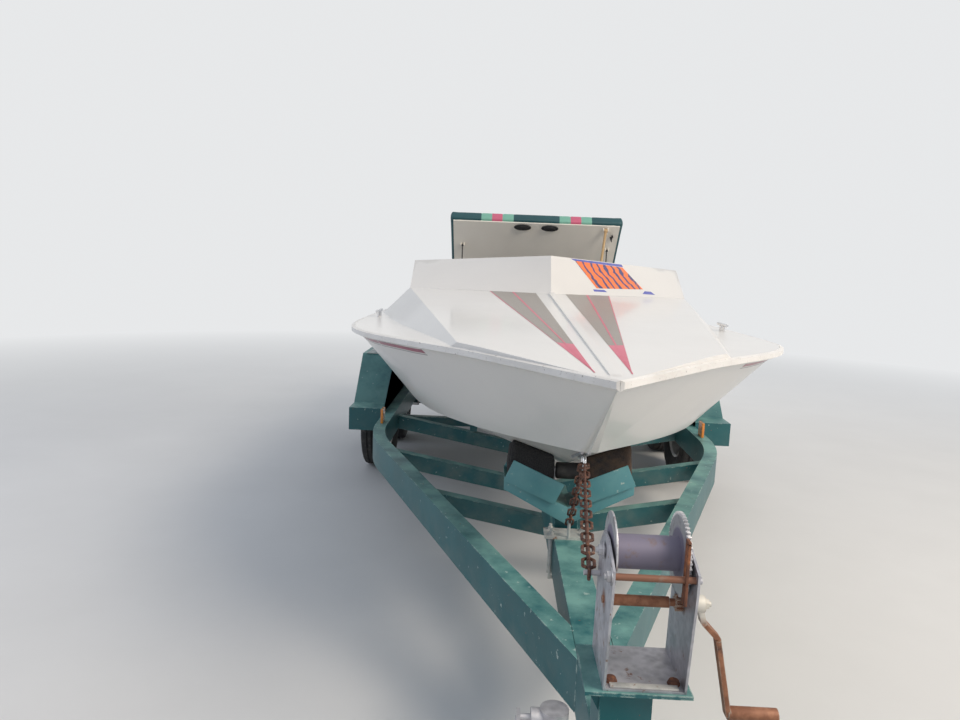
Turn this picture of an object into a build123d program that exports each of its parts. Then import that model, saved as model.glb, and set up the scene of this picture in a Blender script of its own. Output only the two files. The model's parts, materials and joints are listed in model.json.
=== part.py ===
"""A V-hull jet speedboat of about 18 ft standing on its tandem-axle trailer.

The boat has a raised foredeck with a wedge-shaped cowl, an open cockpit and an engine hatch that
stands open over a V8 with a jet pump. The trailer has two rails that meet in a V at the tongue, a
bolster under the forefoot, carpeted bunks, a geared hand winch with a chain, and a screw jack.
While it is built, Y is 0 at the bow's tip and grows aft, X is 0 on the centre plane with port
positive, and Z is 0 on the ground. At the end everything moves along Y so that the middle of the
overall length is at Y = 0.
"""
from build123d import *
from math import atan2, cos, degrees, radians, sin, tan
import os

# Overall boat sizes
hull_length = 5490.0
half_beam = 1040.0
half_chine = 855.0
keel_height = 556.0
hull_skin = 12.0
transom_thick = 45.0
fit_gap = 0.3
bond_gap = 0.1
run_gap = 0.08

# Raised foredeck and cowl
deck_skin = 8.0
deck_front_half = 320.0
deck_corner_half = 850.0
cowl_tip_at = 2414.0
cowl_corner_at = 2782.0
cowl_rise = 214.0
cowl_corner_rise = 168.0
cowl_rake = 161.0
cowl_corner_rake = 300.0
cowl_brow = 190.0
cowl_skin = 10.0
ridge_half_width = 16.0
ridge_height = 8.0

# Cockpit and engine bay
cockpit_half = 770.0
cockpit_aft_from_stern = 1275.0
bay_half = 680.0
bay_forward_from_stern = 1240.0
bay_aft_from_stern = 385.0
floor_height = 760.0
floor_thick = 14.0
coaming_aft_half = 800.0
coaming_aft_height = 1206.0

# Engine hatch
hatch_half = 742.0
hatch_length = 915.0
hatch_open_angle = 47.0
hatch_panel_thick = 22.0
hatch_pad_thick = 75.0
hatch_pad_border = 34.0
hinge_pin_radius = 6.0
stay_out = 630.0
stay_along = 626.0
stay_drop = 22.0
stay_foot_z = 1150.0
prop_out = 590.0
prop_along = 850.0
prop_radius = 11.0
prop_length = 600.0
prop_lean = 50.0

# Jet drive
jet_z = 690.0
jet_aft = 130.0
nozzle_radius = 62.0
nozzle_bore = 52.0
nozzle_pivot_behind = 45.0
bucket_pivot_aft = 60.0
bucket_pivot_up = 78.0
bucket_reach = 242.0
bucket_skin = 12.0
bucket_arm_out = 122.0

# Trailer frame
frame_top = 520.0
rail_width = 70.0
rail_depth = 150.0
rail_front_half = 59.0
rail_front_at = 67.0
frame_half = 1020.0
frame_angle = 22.63
frame_bend_radius = 1250.0
frame_rear_at = 5360.0
tongue_width = 106.0
tongue_ahead = 980.0
coupler_ahead = 1093.0
cross_width = 60.0
cross_depth = 90.0
cross_drop = 10.5
cross_stations = (1587.0, 2287.0, 3150.0, 4750.0)

# Wheels, axles and fenders
axle_stations = (3560.0, 4350.0)
tyre_radius = 340.0
tyre_width = 200.0
rim_radius = 190.0
wheel_out = 1135.0
hub_radius = 42.0
spindle_radius = 20.0
axle_square = 60.0
fender_outer = 1250.0
fender_skin = 4.0
fender_top = 850.0

# Winch
winch_at = -263.0
winch_plate_height = 690.0
winch_centre = 30.0
winch_width = 170.0
winch_plate = 5.0
drum_axle_height = 955.0
drum_barrel_radius = 36.0
drum_flange_radius = 82.0
drum_axle_radius = 9.0
gear_module = 3.33
drum_teeth = 51
pinion_teeth = 9
pinion_shaft_radius = 8.0
pinion_below = 97.0
crank_reach = 250.0
grip_length = 110.0

# Jack
jack_at = -340.0
jack_out = 150.0
jack_tube_radius = 30.0
jack_leg_radius = 24.0
jack_top = 640.0
jack_tube_bottom = 215.0
jack_travel_left = 180.0
foot_radius = 85.0

# Chain
link_wire = 9.0
link_length = 58.0
link_width = 35.0
eye_ring_radius = 24.0
eye_wire_radius = 6.0

# Lines of the hull, one row for each station: its share of hull_length aft of the bow tip, the
# sheer's share of half_beam and its height, the chine's share of half_chine and its height, and
# how far the keel lies above keel_height. Ahead of the first row the bow runs straight to its tip.
hull_lines = (
    # along, sheer out, sheer height, chine out, chine height, keel rise
    (0.0856, 0.338, 1263, 0.032, 969, 405),
    (0.164, 0.664, 1250, 0.392, 926, 262),
    (0.273, 0.900, 1222, 0.726, 884, 102),
    (0.401, 0.990, 1196, 0.906, 852, 36),
    (0.583, 1.004, 1180, 0.980, 830, 10),
    (0.801, 0.990, 1172, 1.000, 823, 2),
    (1.000, 0.956, 1167, 1.000, 819, 0),
)
bow_tip_height = 1267.0
chine_flat = 22.0
loft_steps = 10
hollow_from = 600.0
far = 2000.0
low_z = 400.0
high_z = 1700.0


def box(x0, x1, y0, y1, z0, z1):
    """A block between two corners."""
    block = Box(x1 - x0, y1 - y0, z1 - z0, align=(Align.MIN, Align.MIN, Align.MIN))
    return Pos(x0, y0, z0) * block


def rod_x(x0, x1, y, z, radius):
    """A round bar along X."""
    bar = Cylinder(radius, x1 - x0, align=(Align.CENTER, Align.CENTER, Align.MIN))
    return Pos(x0, y, z) * Rot(0, 90, 0) * bar


def rod_y(x, y0, y1, z, radius):
    """A round bar along Y."""
    bar = Cylinder(radius, y1 - y0, align=(Align.CENTER, Align.CENTER, Align.MIN))
    return Pos(x, y0, z) * Rot(-90, 0, 0) * bar


def rod_z(x, y, z0, z1, radius):
    """A round bar along Z."""
    bar = Cylinder(radius, z1 - z0, align=(Align.CENTER, Align.CENTER, Align.MIN))
    return Pos(x, y, z0) * bar


def rod_between(start, end, radius):
    """A round bar from one point to another."""
    line = Line(start, end)
    return sweep(Plane(origin=start, z_dir=line % 0) * Circle(radius), path=line)


def prism_x(points, x0, x1):
    """A profile of (y, z) points, extruded along X."""
    profile = Plane(origin=(x0, 0, 0), x_dir=(0, 1, 0), z_dir=(1, 0, 0)) * make_face(
        Polyline(*points, close=True))
    return extrude(profile, amount=x1 - x0)


def prism_y(points, y0, y1):
    """A profile of (x, z) points, extruded along Y."""
    profile = Plane(origin=(0, y1, 0), x_dir=(1, 0, 0), z_dir=(0, -1, 0)) * make_face(
        Polyline(*points, close=True))
    return extrude(profile, amount=y1 - y0)


def prism_z(points, z0, z1):
    """A profile of (x, y) points, extruded along Z."""
    return extrude(Pos(0, 0, z0) * make_face(Polyline(*points, close=True)), amount=z1 - z0)


def both_sides(piece):
    """A piece and its mirror image across the centre plane."""
    return [piece, mirror(piece, about=Plane.YZ)]


def stations_loft(rows, ruled=False):
    """A loft through closed sections, each a station and a list of (x, z) points."""
    wires = [Wire.make_polygon([(x, y, z) for x, z in points], close=True) for y, points in rows]
    return Part() + Solid.make_loft(wires, ruled)


def line_at(column, share):
    """One of the hull's lines at a share of its length: a smooth curve through the table's rows."""
    knots = [row[0] for row in hull_lines]
    values = [row[column] for row in hull_lines]
    last = len(knots) - 1
    seg = max(i for i in range(last) if knots[i] <= share + 1e-9)
    grades = [(values[i + 1] - values[i]) / (knots[i + 1] - knots[i]) for i in range(last)]
    slopes = [grades[0]] + [(grades[i] + grades[i + 1]) / 2 for i in range(last - 1)] + [grades[-1]]
    width = knots[seg + 1] - knots[seg]
    t = (share - knots[seg]) / width
    return ((1 + 2 * t) * (1 - t) ** 2 * values[seg] + t * (1 - t) ** 2 * width * slopes[seg]
            + t * t * (3 - 2 * t) * values[seg + 1] - t * t * (1 - t) * width * slopes[seg + 1])


def hull_row(y):
    """The hull's lines at one station, in millimetres: sheer, chine and keel."""
    share = y / hull_length
    return (y, line_at(1, share) * half_beam, line_at(2, share), line_at(3, share) * half_chine,
            line_at(4, share), keel_height + line_at(5, share))


def hull_rows(start=hull_lines[0][0] * hull_length):
    """Evenly spaced stations from a start to the transom."""
    return [hull_row(start + (hull_length - start) * step / loft_steps)
            for step in range(loft_steps + 1)]


def mirrored(points):
    """A half section's points, from the keel outward, with their mirror images."""
    return points + [(-x, z) for x, z in reversed(points) if x > 0]


def hull_section(row, inset=0.0, raise_top=0.0):
    """The hull's section at one station: keel, chine with its flat, and sheer."""
    y, sheer_x, sheer_z, chine_x, chine_z, keel_z = row
    inner_flat = max(chine_x - chine_flat, 2.0)
    slope = (chine_z - keel_z) / inner_flat
    lift = inset * (1 + slope * slope) ** 0.5
    points = [(0, keel_z + lift), (inner_flat - inset, chine_z + lift - inset * slope),
              (chine_x - inset, chine_z + lift - inset * slope), (sheer_x - inset, sheer_z)]
    if raise_top:
        points.append((sheer_x - inset, sheer_z + raise_top))
    return y, mirrored(points)


def hull_outside():
    """The hull's outer form: a straight bow block and the lofted length behind it."""
    rows = [hull_section(row) for row in hull_rows()]
    y, points = rows[0]
    base = Wire.make_polygon([(x, y, z) for x, z in points], close=True)
    bow = Part() + Solid.make_loft([Vertex(0, 0, bow_tip_height), base], True)
    return bow + stations_loft(rows)


def hull_inside(inset):
    """The space inside the hull, open at the top and ended ahead of the transom."""
    body = stations_loft([hull_section(row, inset, 60.0) for row in hull_rows(hollow_from)])
    return body & box(-far, far, 0, hull_length - transom_thick, low_z, high_z)


def above_sheer(inset, low, high):
    """The boat's plan, set in by an inset, between two heights above the sheer."""
    rows = []
    for y, sheer_x, sheer_z, chine_x, chine_z, keel_z in hull_rows():
        x = sheer_x - inset
        top = sheer_z + high
        rows.append((y, [(-x, sheer_z + low), (x, sheer_z + low), (x, top), (-x, top)]))
    y, points = rows[0]
    tip_x = 2.0
    tip = (inset, [(-tip_x, bow_tip_height + low), (tip_x, bow_tip_height + low),
                         (tip_x, bow_tip_height + high), (-tip_x, bow_tip_height + high)])
    return stations_loft([tip, rows[0]], ruled=True) + stations_loft(rows)


def deck_edge(y):
    """Half-width and height of the raised deck's edge at a station ahead of the cowl's corner."""
    share = y / cowl_corner_at
    out = deck_front_half + (deck_corner_half - deck_front_half) * share
    return out, 1268.0 + 89.0 * share


def raised_deck(inset):
    """The raised foredeck and the coamings behind it, whose sides slope down at 45 degrees."""
    foot_z = 1100.0
    front = -0.04 * hull_length
    out, high = deck_edge(front)
    stern_rows = (
        (front, out, high, high + 1.0),
        (cowl_corner_at, deck_corner_half, 1357.0, 1384.0),
        (hull_length - cockpit_aft_from_stern, coaming_aft_half + 15, coaming_aft_height,
         coaming_aft_height + 2),
        (1.02 * hull_length, coaming_aft_half - 20, coaming_aft_height, coaming_aft_height + 2),
    )
    rows = []
    for y, edge_x, edge_z, ridge_z in stern_rows:
        x = edge_x - 0.42 * inset
        z = edge_z - inset
        foot = x + z - foot_z
        rows.append((y, [(-foot, foot_z), (-x, z), (0, ridge_z - inset), (x, z), (foot, foot_z)]))
    return stations_loft(rows, ruled=True)


def save(name, *pieces):
    """Write one node, moved so that the middle of the overall length is at Y = 0."""
    solids = []
    for piece in pieces:
        solids += piece.solids()
    moved = [Pos(0, shift_y, 0) * solid for solid in solids]
    export_step(moved[0] if len(moved) == 1 else Compound(children=moved), f"parts/{name}.step")


shift_y = -(hull_length + bucket_pivot_aft + bucket_reach - coupler_ahead) / 2
os.makedirs("parts", exist_ok=True)

# Hull shell
outer = hull_outside()
hull = outer - hull_inside(hull_skin)

# Deck moulding
cockpit_from = cowl_tip_at + 60.0
cockpit_to = hull_length - cockpit_aft_from_stern
bay_from = hull_length - bay_forward_from_stern
bay_to = hull_length - bay_aft_from_stern
cockpit_corner_at = cowl_corner_at + 90.0
cockpit_plan = [(0, cockpit_from), (cockpit_half, cockpit_corner_at), (cockpit_half, cockpit_to),
                (-cockpit_half, cockpit_to), (-cockpit_half, cockpit_corner_at)]
raised = raised_deck(0.0)
over_deck = above_sheer(0.0, bond_gap, 500.0)
deck_full = above_sheer(0.0, bond_gap, deck_skin) + (over_deck & raised)
deck_void = above_sheer(hull_skin, -5.0, 500.0) & raised_deck(deck_skin) & box(
    -far, far, 200, hull_length - transom_thick, low_z, high_z)
cockpit_hole = prism_z(cockpit_plan, 1000, 1600)
bay_hole = box(-bay_half, bay_half, bay_from, bay_to, 1000, 1600)
ridge = prism_x([(0, 1200), (cowl_tip_at - 20, 1200), (cowl_tip_at - 20, 1371 + ridge_height),
                 (70, 1270 + ridge_height), (30, 1266)], -ridge_half_width, ridge_half_width)
deck = deck_full + (ridge & over_deck) - deck_void - cockpit_hole - bay_hole
save("hull", hull)
save("deck", deck)

# Rub rail round the sheer
rail_rows = [(y, [(sheer_x, sheer_z - 20), (sheer_x + 16, sheer_z - 14), (sheer_x + 16, sheer_z + 4),
                  (sheer_x, sheer_z + deck_skin)])
             for y, sheer_x, sheer_z, chine_x, chine_z, keel_z in hull_rows()]
rail_tip = (-4.0, [(1, bow_tip_height - 20), (10, bow_tip_height - 14), (10, bow_tip_height + 4),
                   (1, bow_tip_height + deck_skin)])
rub_half = stations_loft([rail_tip, rail_rows[0]], ruled=True) + stations_loft(rail_rows)
rub_half = rub_half - outer - deck_full
save("rub_rail", *both_sides(rub_half))

# Cowl: two raked faces that meet in a V, a brow behind them and low wings beside the cockpit
cowl_low = 1150.0
cowl_high = 1650.0
tip_z = 1371.0
corner_z = 1357.0


def cowl_outline(height, inset):
    """The cowl's plan at one height: its V front, its sides and its open back."""
    tip_y = cowl_tip_at + cowl_rake * (height - tip_z) / cowl_rise + inset
    corner_y = cowl_corner_at + cowl_corner_rake * (height - corner_z) / cowl_corner_rise + inset
    side = deck_corner_half + 0.05 * (height - corner_z) - inset
    back = cowl_corner_at + 1300.0
    return [(0, tip_y, height), (side, corner_y, height), (side, back, height),
            (-side, back, height), (-side, corner_y, height)]


def cowl_form(inset):
    """The cowl as a closed form, set in by its skin."""
    wires = [Wire.make_polygon(cowl_outline(z, inset), close=True) for z in (cowl_low, cowl_high)]
    return Part() + Solid.make_loft(wires, True)


top_z = tip_z + cowl_rise
top_corner_z = corner_z + cowl_corner_rise
roof_slope = (top_z - top_corner_z) / deck_corner_half


def below_roof(drop):
    """All below the cowl's two roof planes, lowered by a skin."""
    return prism_y([(-far, low_z), (far, low_z), (far, top_z - drop - far * roof_slope),
                    (0, top_z - drop), (-far, top_z - drop - far * roof_slope)], 0, hull_length)


wing_from = cowl_corner_at + cowl_corner_rake + 60.0
wing_to = cowl_corner_at + 1150.0
wing_keep = prism_x([(0, low_z), (wing_to, low_z), (wing_to, 1240), (wing_to - 60, 1262),
                     (wing_from, top_corner_z), (wing_from - 60, top_z + 40), (0, top_z + 40)],
                    -far, far)
brow_open = prism_z([(0, cowl_tip_at + cowl_rake + cowl_brow),
                     (deck_corner_half - 30, cowl_corner_at + cowl_corner_rake + cowl_brow - 60),
                     (deck_corner_half - 30, hull_length), (-deck_corner_half + 30, hull_length),
                     (-deck_corner_half + 30, cowl_corner_at + cowl_corner_rake + cowl_brow - 60)],
                    low_z, high_z)
cowl_shell = (cowl_form(0.0) & below_roof(0.0)) - (cowl_form(cowl_skin) & below_roof(cowl_skin))
cowl_shell = (cowl_shell & wing_keep) - (brow_open & cowl_form(cowl_skin))
cowl = cowl_shell - (raised + box(-far, far, -far, hull_length, low_z, 1150))
save("cowl", cowl)

# Cockpit floor, liner, bulkhead and engine beds, all trimmed to the hull's inside
inside = hull_inside(hull_skin + fit_gap)
floor = inside & box(-far, far, 1500.0, cockpit_to, floor_height, floor_height + floor_thick)
save("cockpit_floor", floor)
bulkhead = inside & box(-far, far, cockpit_to + 12, cockpit_to + 32, low_z, 1150)
liner_body = inside & box(-far, far, cockpit_corner_at, cockpit_to - 1, floor_height + floor_thick
                          + fit_gap, 1150)
liner = liner_body & (box(cockpit_half + 2, cockpit_half + 12, 0, hull_length, 0, 2000)
                      + box(-cockpit_half - 12, -cockpit_half - 2, 0, hull_length, 0, 2000))
save("cockpit_liner", liner)
bed_out = 300.0
beds = []
for side in (-1, 1):
    bed = box(side * bed_out - 25, side * bed_out + 25, cockpit_to + 40, hull_length - transom_thick - 1,
              low_z, 735)
    beds.append(inside & bed)
save("engine_beds", bulkhead, *beds)

# Seats
seat_height = floor_height + floor_thick + fit_gap


def bucket_seat(side):
    """A bucket seat on a box: a cushion with side bolsters and a raked back."""
    x = side * 400.0
    y = 3085.0
    base = box(x - 190, x + 190, y, y + 420, seat_height, seat_height + 90)
    cushion = box(x - 230, x + 230, y - 20, y + 470, seat_height + 90, seat_height + 190)
    cushion = fillet(cushion.edges(), 24)
    back = prism_x([(y + 380, seat_height + 190), (y + 480, seat_height + 190),
                    (y + 560, seat_height + 560), (y + 490, seat_height + 575)], x - 225, x + 225)
    back = fillet(back.edges().filter_by(Axis.X), 20)
    bolster = prism_x([(y + 380, seat_height + 190), (y + 560, seat_height + 560),
                       (y + 420, seat_height + 500), (y + 280, seat_height + 230),
                       (y, seat_height + 210), (y, seat_height + 190)], x - 225, x - 175)
    other = Pos(400, 0, 0) * bolster
    return base + cushion + back + bolster + other


save("seat_port", bucket_seat(1))
save("seat_starboard", bucket_seat(-1))
bench_from = cockpit_to - 400.0
bench = prism_x([(bench_from, seat_height), (cockpit_to - 2, seat_height),
                 (cockpit_to - 2, 1150), (cockpit_to - 90, 1160), (cockpit_to - 140, seat_height + 240),
                 (bench_from - 20, seat_height + 225), (bench_from - 20, seat_height + 120),
                 (bench_from, seat_height + 110)], -570, 570)
save("rear_bench", bench)

# Dash and steering wheel
dash_at = cowl_corner_at + 130.0
dash = prism_x([(dash_at, 1120), (dash_at + 20, 1120), (dash_at - 30, 1395), (dash_at - 50, 1395)],
               -cockpit_half + fit_gap, cockpit_half - fit_gap) - deck
wheel_x = -400.0
wheel_lean = 20.0
column_start = (wheel_x, dash_at - 5, 1255)
column_dir = (0, cos(radians(wheel_lean)), sin(radians(wheel_lean)))


def along_column(distance):
    """A point on the steering column's line."""
    return tuple(a + distance * b for a, b in zip(column_start, column_dir))


column = rod_between(along_column(-20), along_column(120), 22)
save("dash", dash, (column - dash).solids().sort_by(Axis.Y)[-1])
rim_plane = Plane(origin=along_column(150), x_dir=(1, 0, 0), z_dir=column_dir)
rim = rim_plane * Torus(165, 14)
hub = rod_between(along_column(120.5), along_column(160), 34)
spokes = [rim_plane * Rot(0, 0, turn) * Pos(95, 0, 0) * Box(150, 26, 6) for turn in (0, 180, 270)]
wheel = rim + hub
for spoke in spokes:
    wheel += spoke
save("steering_wheel", wheel)

# Engine: a V8 on its beds, drawn as its castings
engine_front = cockpit_to + 130.0
engine_back = engine_front + 560.0
crank_z = 800.0
block = prism_y([(-150, crank_z - 150), (150, crank_z - 150), (165, crank_z - 20), (235, crank_z + 110),
                 (130, crank_z + 215), (60, crank_z + 150), (-60, crank_z + 150),
                 (-130, crank_z + 215), (-235, crank_z + 110), (-165, crank_z - 20)],
                engine_front, engine_back)
block += box(-bed_out - 25, -140, engine_front + 60, engine_front + 140, 735.3, 760)
block += box(140, bed_out + 25, engine_front + 60, engine_front + 140, 735.3, 760)
block += box(-bed_out - 25, -140, engine_back - 140, engine_back - 60, 735.3, 760)
block += box(140, bed_out + 25, engine_back - 140, engine_back - 60, 735.3, 760)
heads = []
covers = []
for side in (-1, 1):
    bank = Pos(side * 182.5, 0, crank_z + 162.5) * Rot(0, side * 45, 0)
    head = bank * Pos(0, (engine_front + engine_back) / 2, 36) * Box(150, 540, 71)
    cover = bank * Pos(0, (engine_front + engine_back) / 2, 102) * Box(118, 520, 60)
    cover = fillet(cover.edges().filter_by(Axis.Y).group_by(Axis.Z)[-1:][0], 15)
    heads.append(head)
    covers.append(cover)
save("engine_block", block, *heads)
save("valve_covers", *covers)
middle = (engine_front + engine_back) / 2
intake = box(-85, 85, engine_front + 40, engine_back - 40, crank_z + 150, crank_z + 245)
intake += box(-60, 60, middle - 60, middle + 60, crank_z + 245, crank_z + 320)
intake += rod_z(0, middle, crank_z + 320, crank_z + 372, 105)
intake -= block
for head in heads:
    intake -= head
save("intake_and_arrestor", intake)

# Jet pump: the intake inside the hull, the stator housing behind the transom and its outlet
duct_end = hull_length - transom_thick - fit_gap
intake_duct = rod_y(0, engine_back + fit_gap, duct_end, jet_z + 60, 60)
intake_duct += rod_y(0, duct_end - 160, duct_end, jet_z, 105)
pump_radius = 110.0
pump_end = hull_length + jet_aft
nozzle_pivot_at = pump_end + nozzle_pivot_behind
pump = rod_y(0, hull_length + fit_gap, pump_end - 40, jet_z, pump_radius)
pump += rod_y(0, pump_end - 40, pump_end, jet_z, pump_radius - 20)
pump += rod_y(0, pump_end, nozzle_pivot_at - 20, jet_z, 34)
nozzle_from = nozzle_pivot_at - 15
nozzle_to = nozzle_pivot_at + 55
nozzle = rod_y(0, nozzle_from, nozzle_to, jet_z, nozzle_radius)
lug_wide = 34.0
pin_radius = 6.0
for side in (-1, 1):
    ear_z = jet_z + side * (nozzle_radius + 8)
    pump += box(-lug_wide / 2, lug_wide / 2, pump_end - 1, nozzle_pivot_at + 20, ear_z - 4, ear_z + 4)
    pump -= rod_z(0, nozzle_pivot_at, ear_z - 10, ear_z + 10, pin_radius + run_gap)
    low, high = sorted((jet_z + side * (nozzle_bore + 4), ear_z + side * 6))
    nozzle += rod_z(0, nozzle_pivot_at, low, high, pin_radius)
nozzle -= rod_y(0, nozzle_from - 1, nozzle_to + 1, jet_z, nozzle_bore)
bucket_pivot_at = hull_length + bucket_pivot_aft
bucket_pivot_z = jet_z + bucket_pivot_up
bucket_pins = [rod_x(side * (bucket_arm_out - 18) - 24, side * (bucket_arm_out - 18) + 24,
                     bucket_pivot_at, bucket_pivot_z, 8)
               - rod_y(0, hull_length, pump_end, jet_z, pump_radius) for side in (-1, 1)]
save("jet_pump", intake_duct & inside, pump, *bucket_pins)
save("steering_nozzle", nozzle)


def bucket_point(radius, angle):
    """A point of the bucket's side view, given about its pivot."""
    turn = radians(angle)
    return bucket_pivot_at + radius * cos(turn), bucket_pivot_z + radius * sin(turn)


# Reverse bucket: a curved shell between two arms that turn on the pump's pins
arc_angles = (0, 9, 18, 27, 36, 45)
outer_arc = [bucket_point(bucket_reach, angle) for angle in arc_angles]
inner_arc = [bucket_point(bucket_reach - bucket_skin, angle) for angle in reversed(arc_angles)]
bucket = prism_x(outer_arc + inner_arc, -bucket_arm_out, bucket_arm_out)
for side in (-1, 1):
    x = side * bucket_arm_out
    arm = prism_x([bucket_point(24, -120), bucket_point(24, -60)] + outer_arc + [bucket_point(30, 100)],
                  x - 4, x + 4)
    bucket += arm
    bucket -= rod_x(x - 10, x + 10, bucket_pivot_at, bucket_pivot_z, 8 + run_gap)
save("reverse_bucket", bucket)

# Exhaust manifolds and tailpipes
exhausts = []
for side in (-1, 1):
    log = box(side * 330 - 42, side * 330 + 42, engine_front + 20, engine_back - 20, 858, 938)
    log = fillet(log.edges().filter_by(Axis.Y), 18)
    for port in range(4):
        y = engine_front + 75 + port * 135
        log += rod_between((side * 330, y, 905), (side * 262, y, 938), 24)
    pipe = rod_y(side * 330, engine_back - 20, hull_length - transom_thick - 1, 880, 38)
    exhausts.append(log + pipe - heads[0] - heads[1] - covers[0] - covers[1])
save("exhausts", *exhausts)
pulleys = [rod_y(x, engine_front - 60, engine_front - 0.3, z, radius)
           for x, z, radius in ((0, crank_z, 78), (0, crank_z + 150, 62), (-190, crank_z + 190, 36))]
save("engine_pulleys", *pulleys)

# Bow eye
eye_at = 576.0
eye_z = 908.0
eye = Pos(0, eye_at, eye_z) * Rot(0, 90, 0) * Torus(eye_ring_radius, eye_wire_radius)

# Cleats on the side decks
cleats = []
for side in (-1, 1):
    foot_z = hull_row(2390.0)[2] + deck_skin
    x = side * 975
    cleat = rod_z(x, 2365, foot_z, foot_z + 32, 8) + rod_z(x, 2415, foot_z, foot_z + 32, 8)
    cleat += rod_y(x, 2310, 2470, foot_z + 36, 9)
    cleats.append(cleat - deck_full)
save("deck_fittings", eye - outer, *cleats)

# Trailer rails, tongue beam and crossmembers
tilt = radians(frame_angle)
rail_line_half = rail_width / 2
centre_start = rail_front_half - rail_line_half / cos(tilt)
bend_at = rail_front_at + (frame_half - rail_line_half - centre_start) / tan(tilt)
rail_line = FilletPolyline((centre_start, rail_front_at), (frame_half - rail_line_half, bend_at),
                           (frame_half - rail_line_half, frame_rear_at), radius=frame_bend_radius)
rail = Pos(0, 0, frame_top - rail_depth) * extrude(trace(rail_line, rail_width), amount=rail_depth)
tongue = box(-tongue_width / 2, tongue_width / 2, -tongue_ahead, cross_stations[0] - cross_width / 2,
             frame_top - rail_depth, frame_top)
rail = rail - tongue
save("rail_port", rail)
save("rail_starboard", mirror(rail, about=Plane.YZ))
save("tongue_beam", tongue)


def rail_inner(y):
    """Half-width between the rails at a station."""
    straight = rail_front_half + (y - rail_front_at) * tan(tilt) - rail_width / cos(tilt)
    return min(straight, frame_half - rail_width)


cross_tool = rail + mirror(rail, about=Plane.YZ)
crosses = []
for station in cross_stations:
    reach = rail_inner(station) + rail_width / 2
    drop = reach * tan(radians(cross_drop))
    low = frame_top - rail_depth + 10
    cross = prism_y([(-reach, low + cross_depth), (0, low + cross_depth - drop),
                     (reach, low + cross_depth), (reach, low), (0, low - drop), (-reach, low)],
                    station - cross_width / 2, station + cross_width / 2)
    crosses.append(cross - cross_tool)
rear_cross = box(-frame_half + rail_width, frame_half - rail_width, frame_rear_at - 80, frame_rear_at,
                 frame_top - rail_depth + 20, frame_top - 40)

# Axles, wheels and fenders
axles = []
for station in axle_stations:
    tube = box(-frame_half + 4, frame_half - 4, station - axle_square / 2, station + axle_square / 2,
               frame_top - rail_depth - axle_square, frame_top - rail_depth)
    spindle = rod_x(-wheel_out - 60, wheel_out + 60, station, tyre_radius, spindle_radius)
    axles.append(tube + spindle)
save("axles", *axles)
tyre_profile = make_face(Polyline((rim_radius, -70), (rim_radius + 60, -tyre_width / 2),
                                  (tyre_radius - 35, -tyre_width / 2), (tyre_radius, -tyre_width / 2 + 30),
                                  (tyre_radius, tyre_width / 2 - 30), (tyre_radius - 35, tyre_width / 2),
                                  (rim_radius + 60, tyre_width / 2), (rim_radius, 70), close=True))
tyre = revolve(tyre_profile, Axis.Y)
rim_profile = make_face(Polyline((hub_radius, -45), (hub_radius, 20), (150, 12), (rim_radius - 16, 40),
                                 (rim_radius - 16, 66), (rim_radius - 0.3, 78), (rim_radius - 0.3, -78),
                                 (rim_radius - 16, -66), (rim_radius - 16, 26), (150, 0), (90, 4),
                                 (80, -45), close=True))
disc = revolve(rim_profile, Axis.Y)
hub_body = Rot(-90, 0, 0) * Cylinder(hub_radius, 120)
disc = disc + hub_body - Rot(-90, 0, 0) * Cylinder(spindle_radius + run_gap, 200)
for station_name, station in zip(("front", "rear"), axle_stations):
    for side_name, side in (("port", 1), ("starboard", -1)):
        place = Pos(side * wheel_out, station, tyre_radius) * Rot(0, 0, -90 * side)
        save(f"tyre_{station_name}_{side_name}", place * tyre)
        save(f"rim_{station_name}_{side_name}", place * disc)
fender_inner = frame_half
fender_from = axle_stations[0] - tyre_radius - 300
fender_to = axle_stations[1] + tyre_radius + 80


def fender_line(inset):
    """The fender's faceted side view, set in by its skin."""
    return [(fender_from + inset, frame_top - 120), (fender_from + inset, frame_top + 30 - inset),
            (fender_from + 170, frame_top + 30 - inset), (axle_stations[0] - 170, fender_top - inset),
            (axle_stations[1] + 170, fender_top - inset), (fender_to - inset, frame_top + 30),
            (fender_to - inset, frame_top - 120)]


fender = (prism_x(fender_line(0), fender_inner, fender_outer)
          - prism_x(fender_line(fender_skin), fender_inner - 1, fender_outer + 1))
lip = prism_x(fender_line(0), fender_outer - fender_skin, fender_outer) \
    - prism_x(fender_line(45), fender_outer - 50, fender_outer + 1)
fender = fender + lip
save("fender_port", fender)
save("fender_starboard", mirror(fender, about=Plane.YZ))

# Bunks under the hull
bunk_out = 430.0
bunk_slope = degrees(atan2(823 - 558, half_chine - chine_flat))
bunk_from = 2500.0
bunk_to = 5300.0
bunk_wide = 140.0
bunk_thick = 45.0


def bottom_z(y, x):
    """Height of the hull's bottom at a station and a distance from the keel."""
    y, sheer_x, sheer_z, chine_x, chine_z, keel_z = hull_row(y)
    return keel_z + (chine_z - keel_z) * x / (chine_x - chine_flat)


bunk_z = bottom_z(bunk_to, bunk_out)
bunk = Pos(bunk_out, (bunk_from + bunk_to) / 2, bunk_z + 3) * Rot(0, -bunk_slope, 0) * Box(
    bunk_wide, bunk_to - bunk_from, bunk_thick, align=(Align.CENTER, Align.CENTER, Align.MAX))
save("bunks", bunk - outer, mirror(bunk - outer, about=Plane.YZ))

# Posts that carry the bunks on the crossmembers
post_half = 25.0
bunk_posts = []
for station in cross_stations[2:]:
    bunk_post = box(bunk_out - post_half, bunk_out + post_half, station - post_half, station + post_half,
                    frame_top - rail_depth, bunk_z - bunk_thick / 2)
    for cross in crosses:
        bunk_post -= cross
    bunk_post = (bunk_post - bunk).solids().sort_by(Axis.Z)[-1]
    bunk_posts += both_sides(Part() + bunk_post)
save("crossmembers", *crosses, rear_cross, *bunk_posts)

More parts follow.
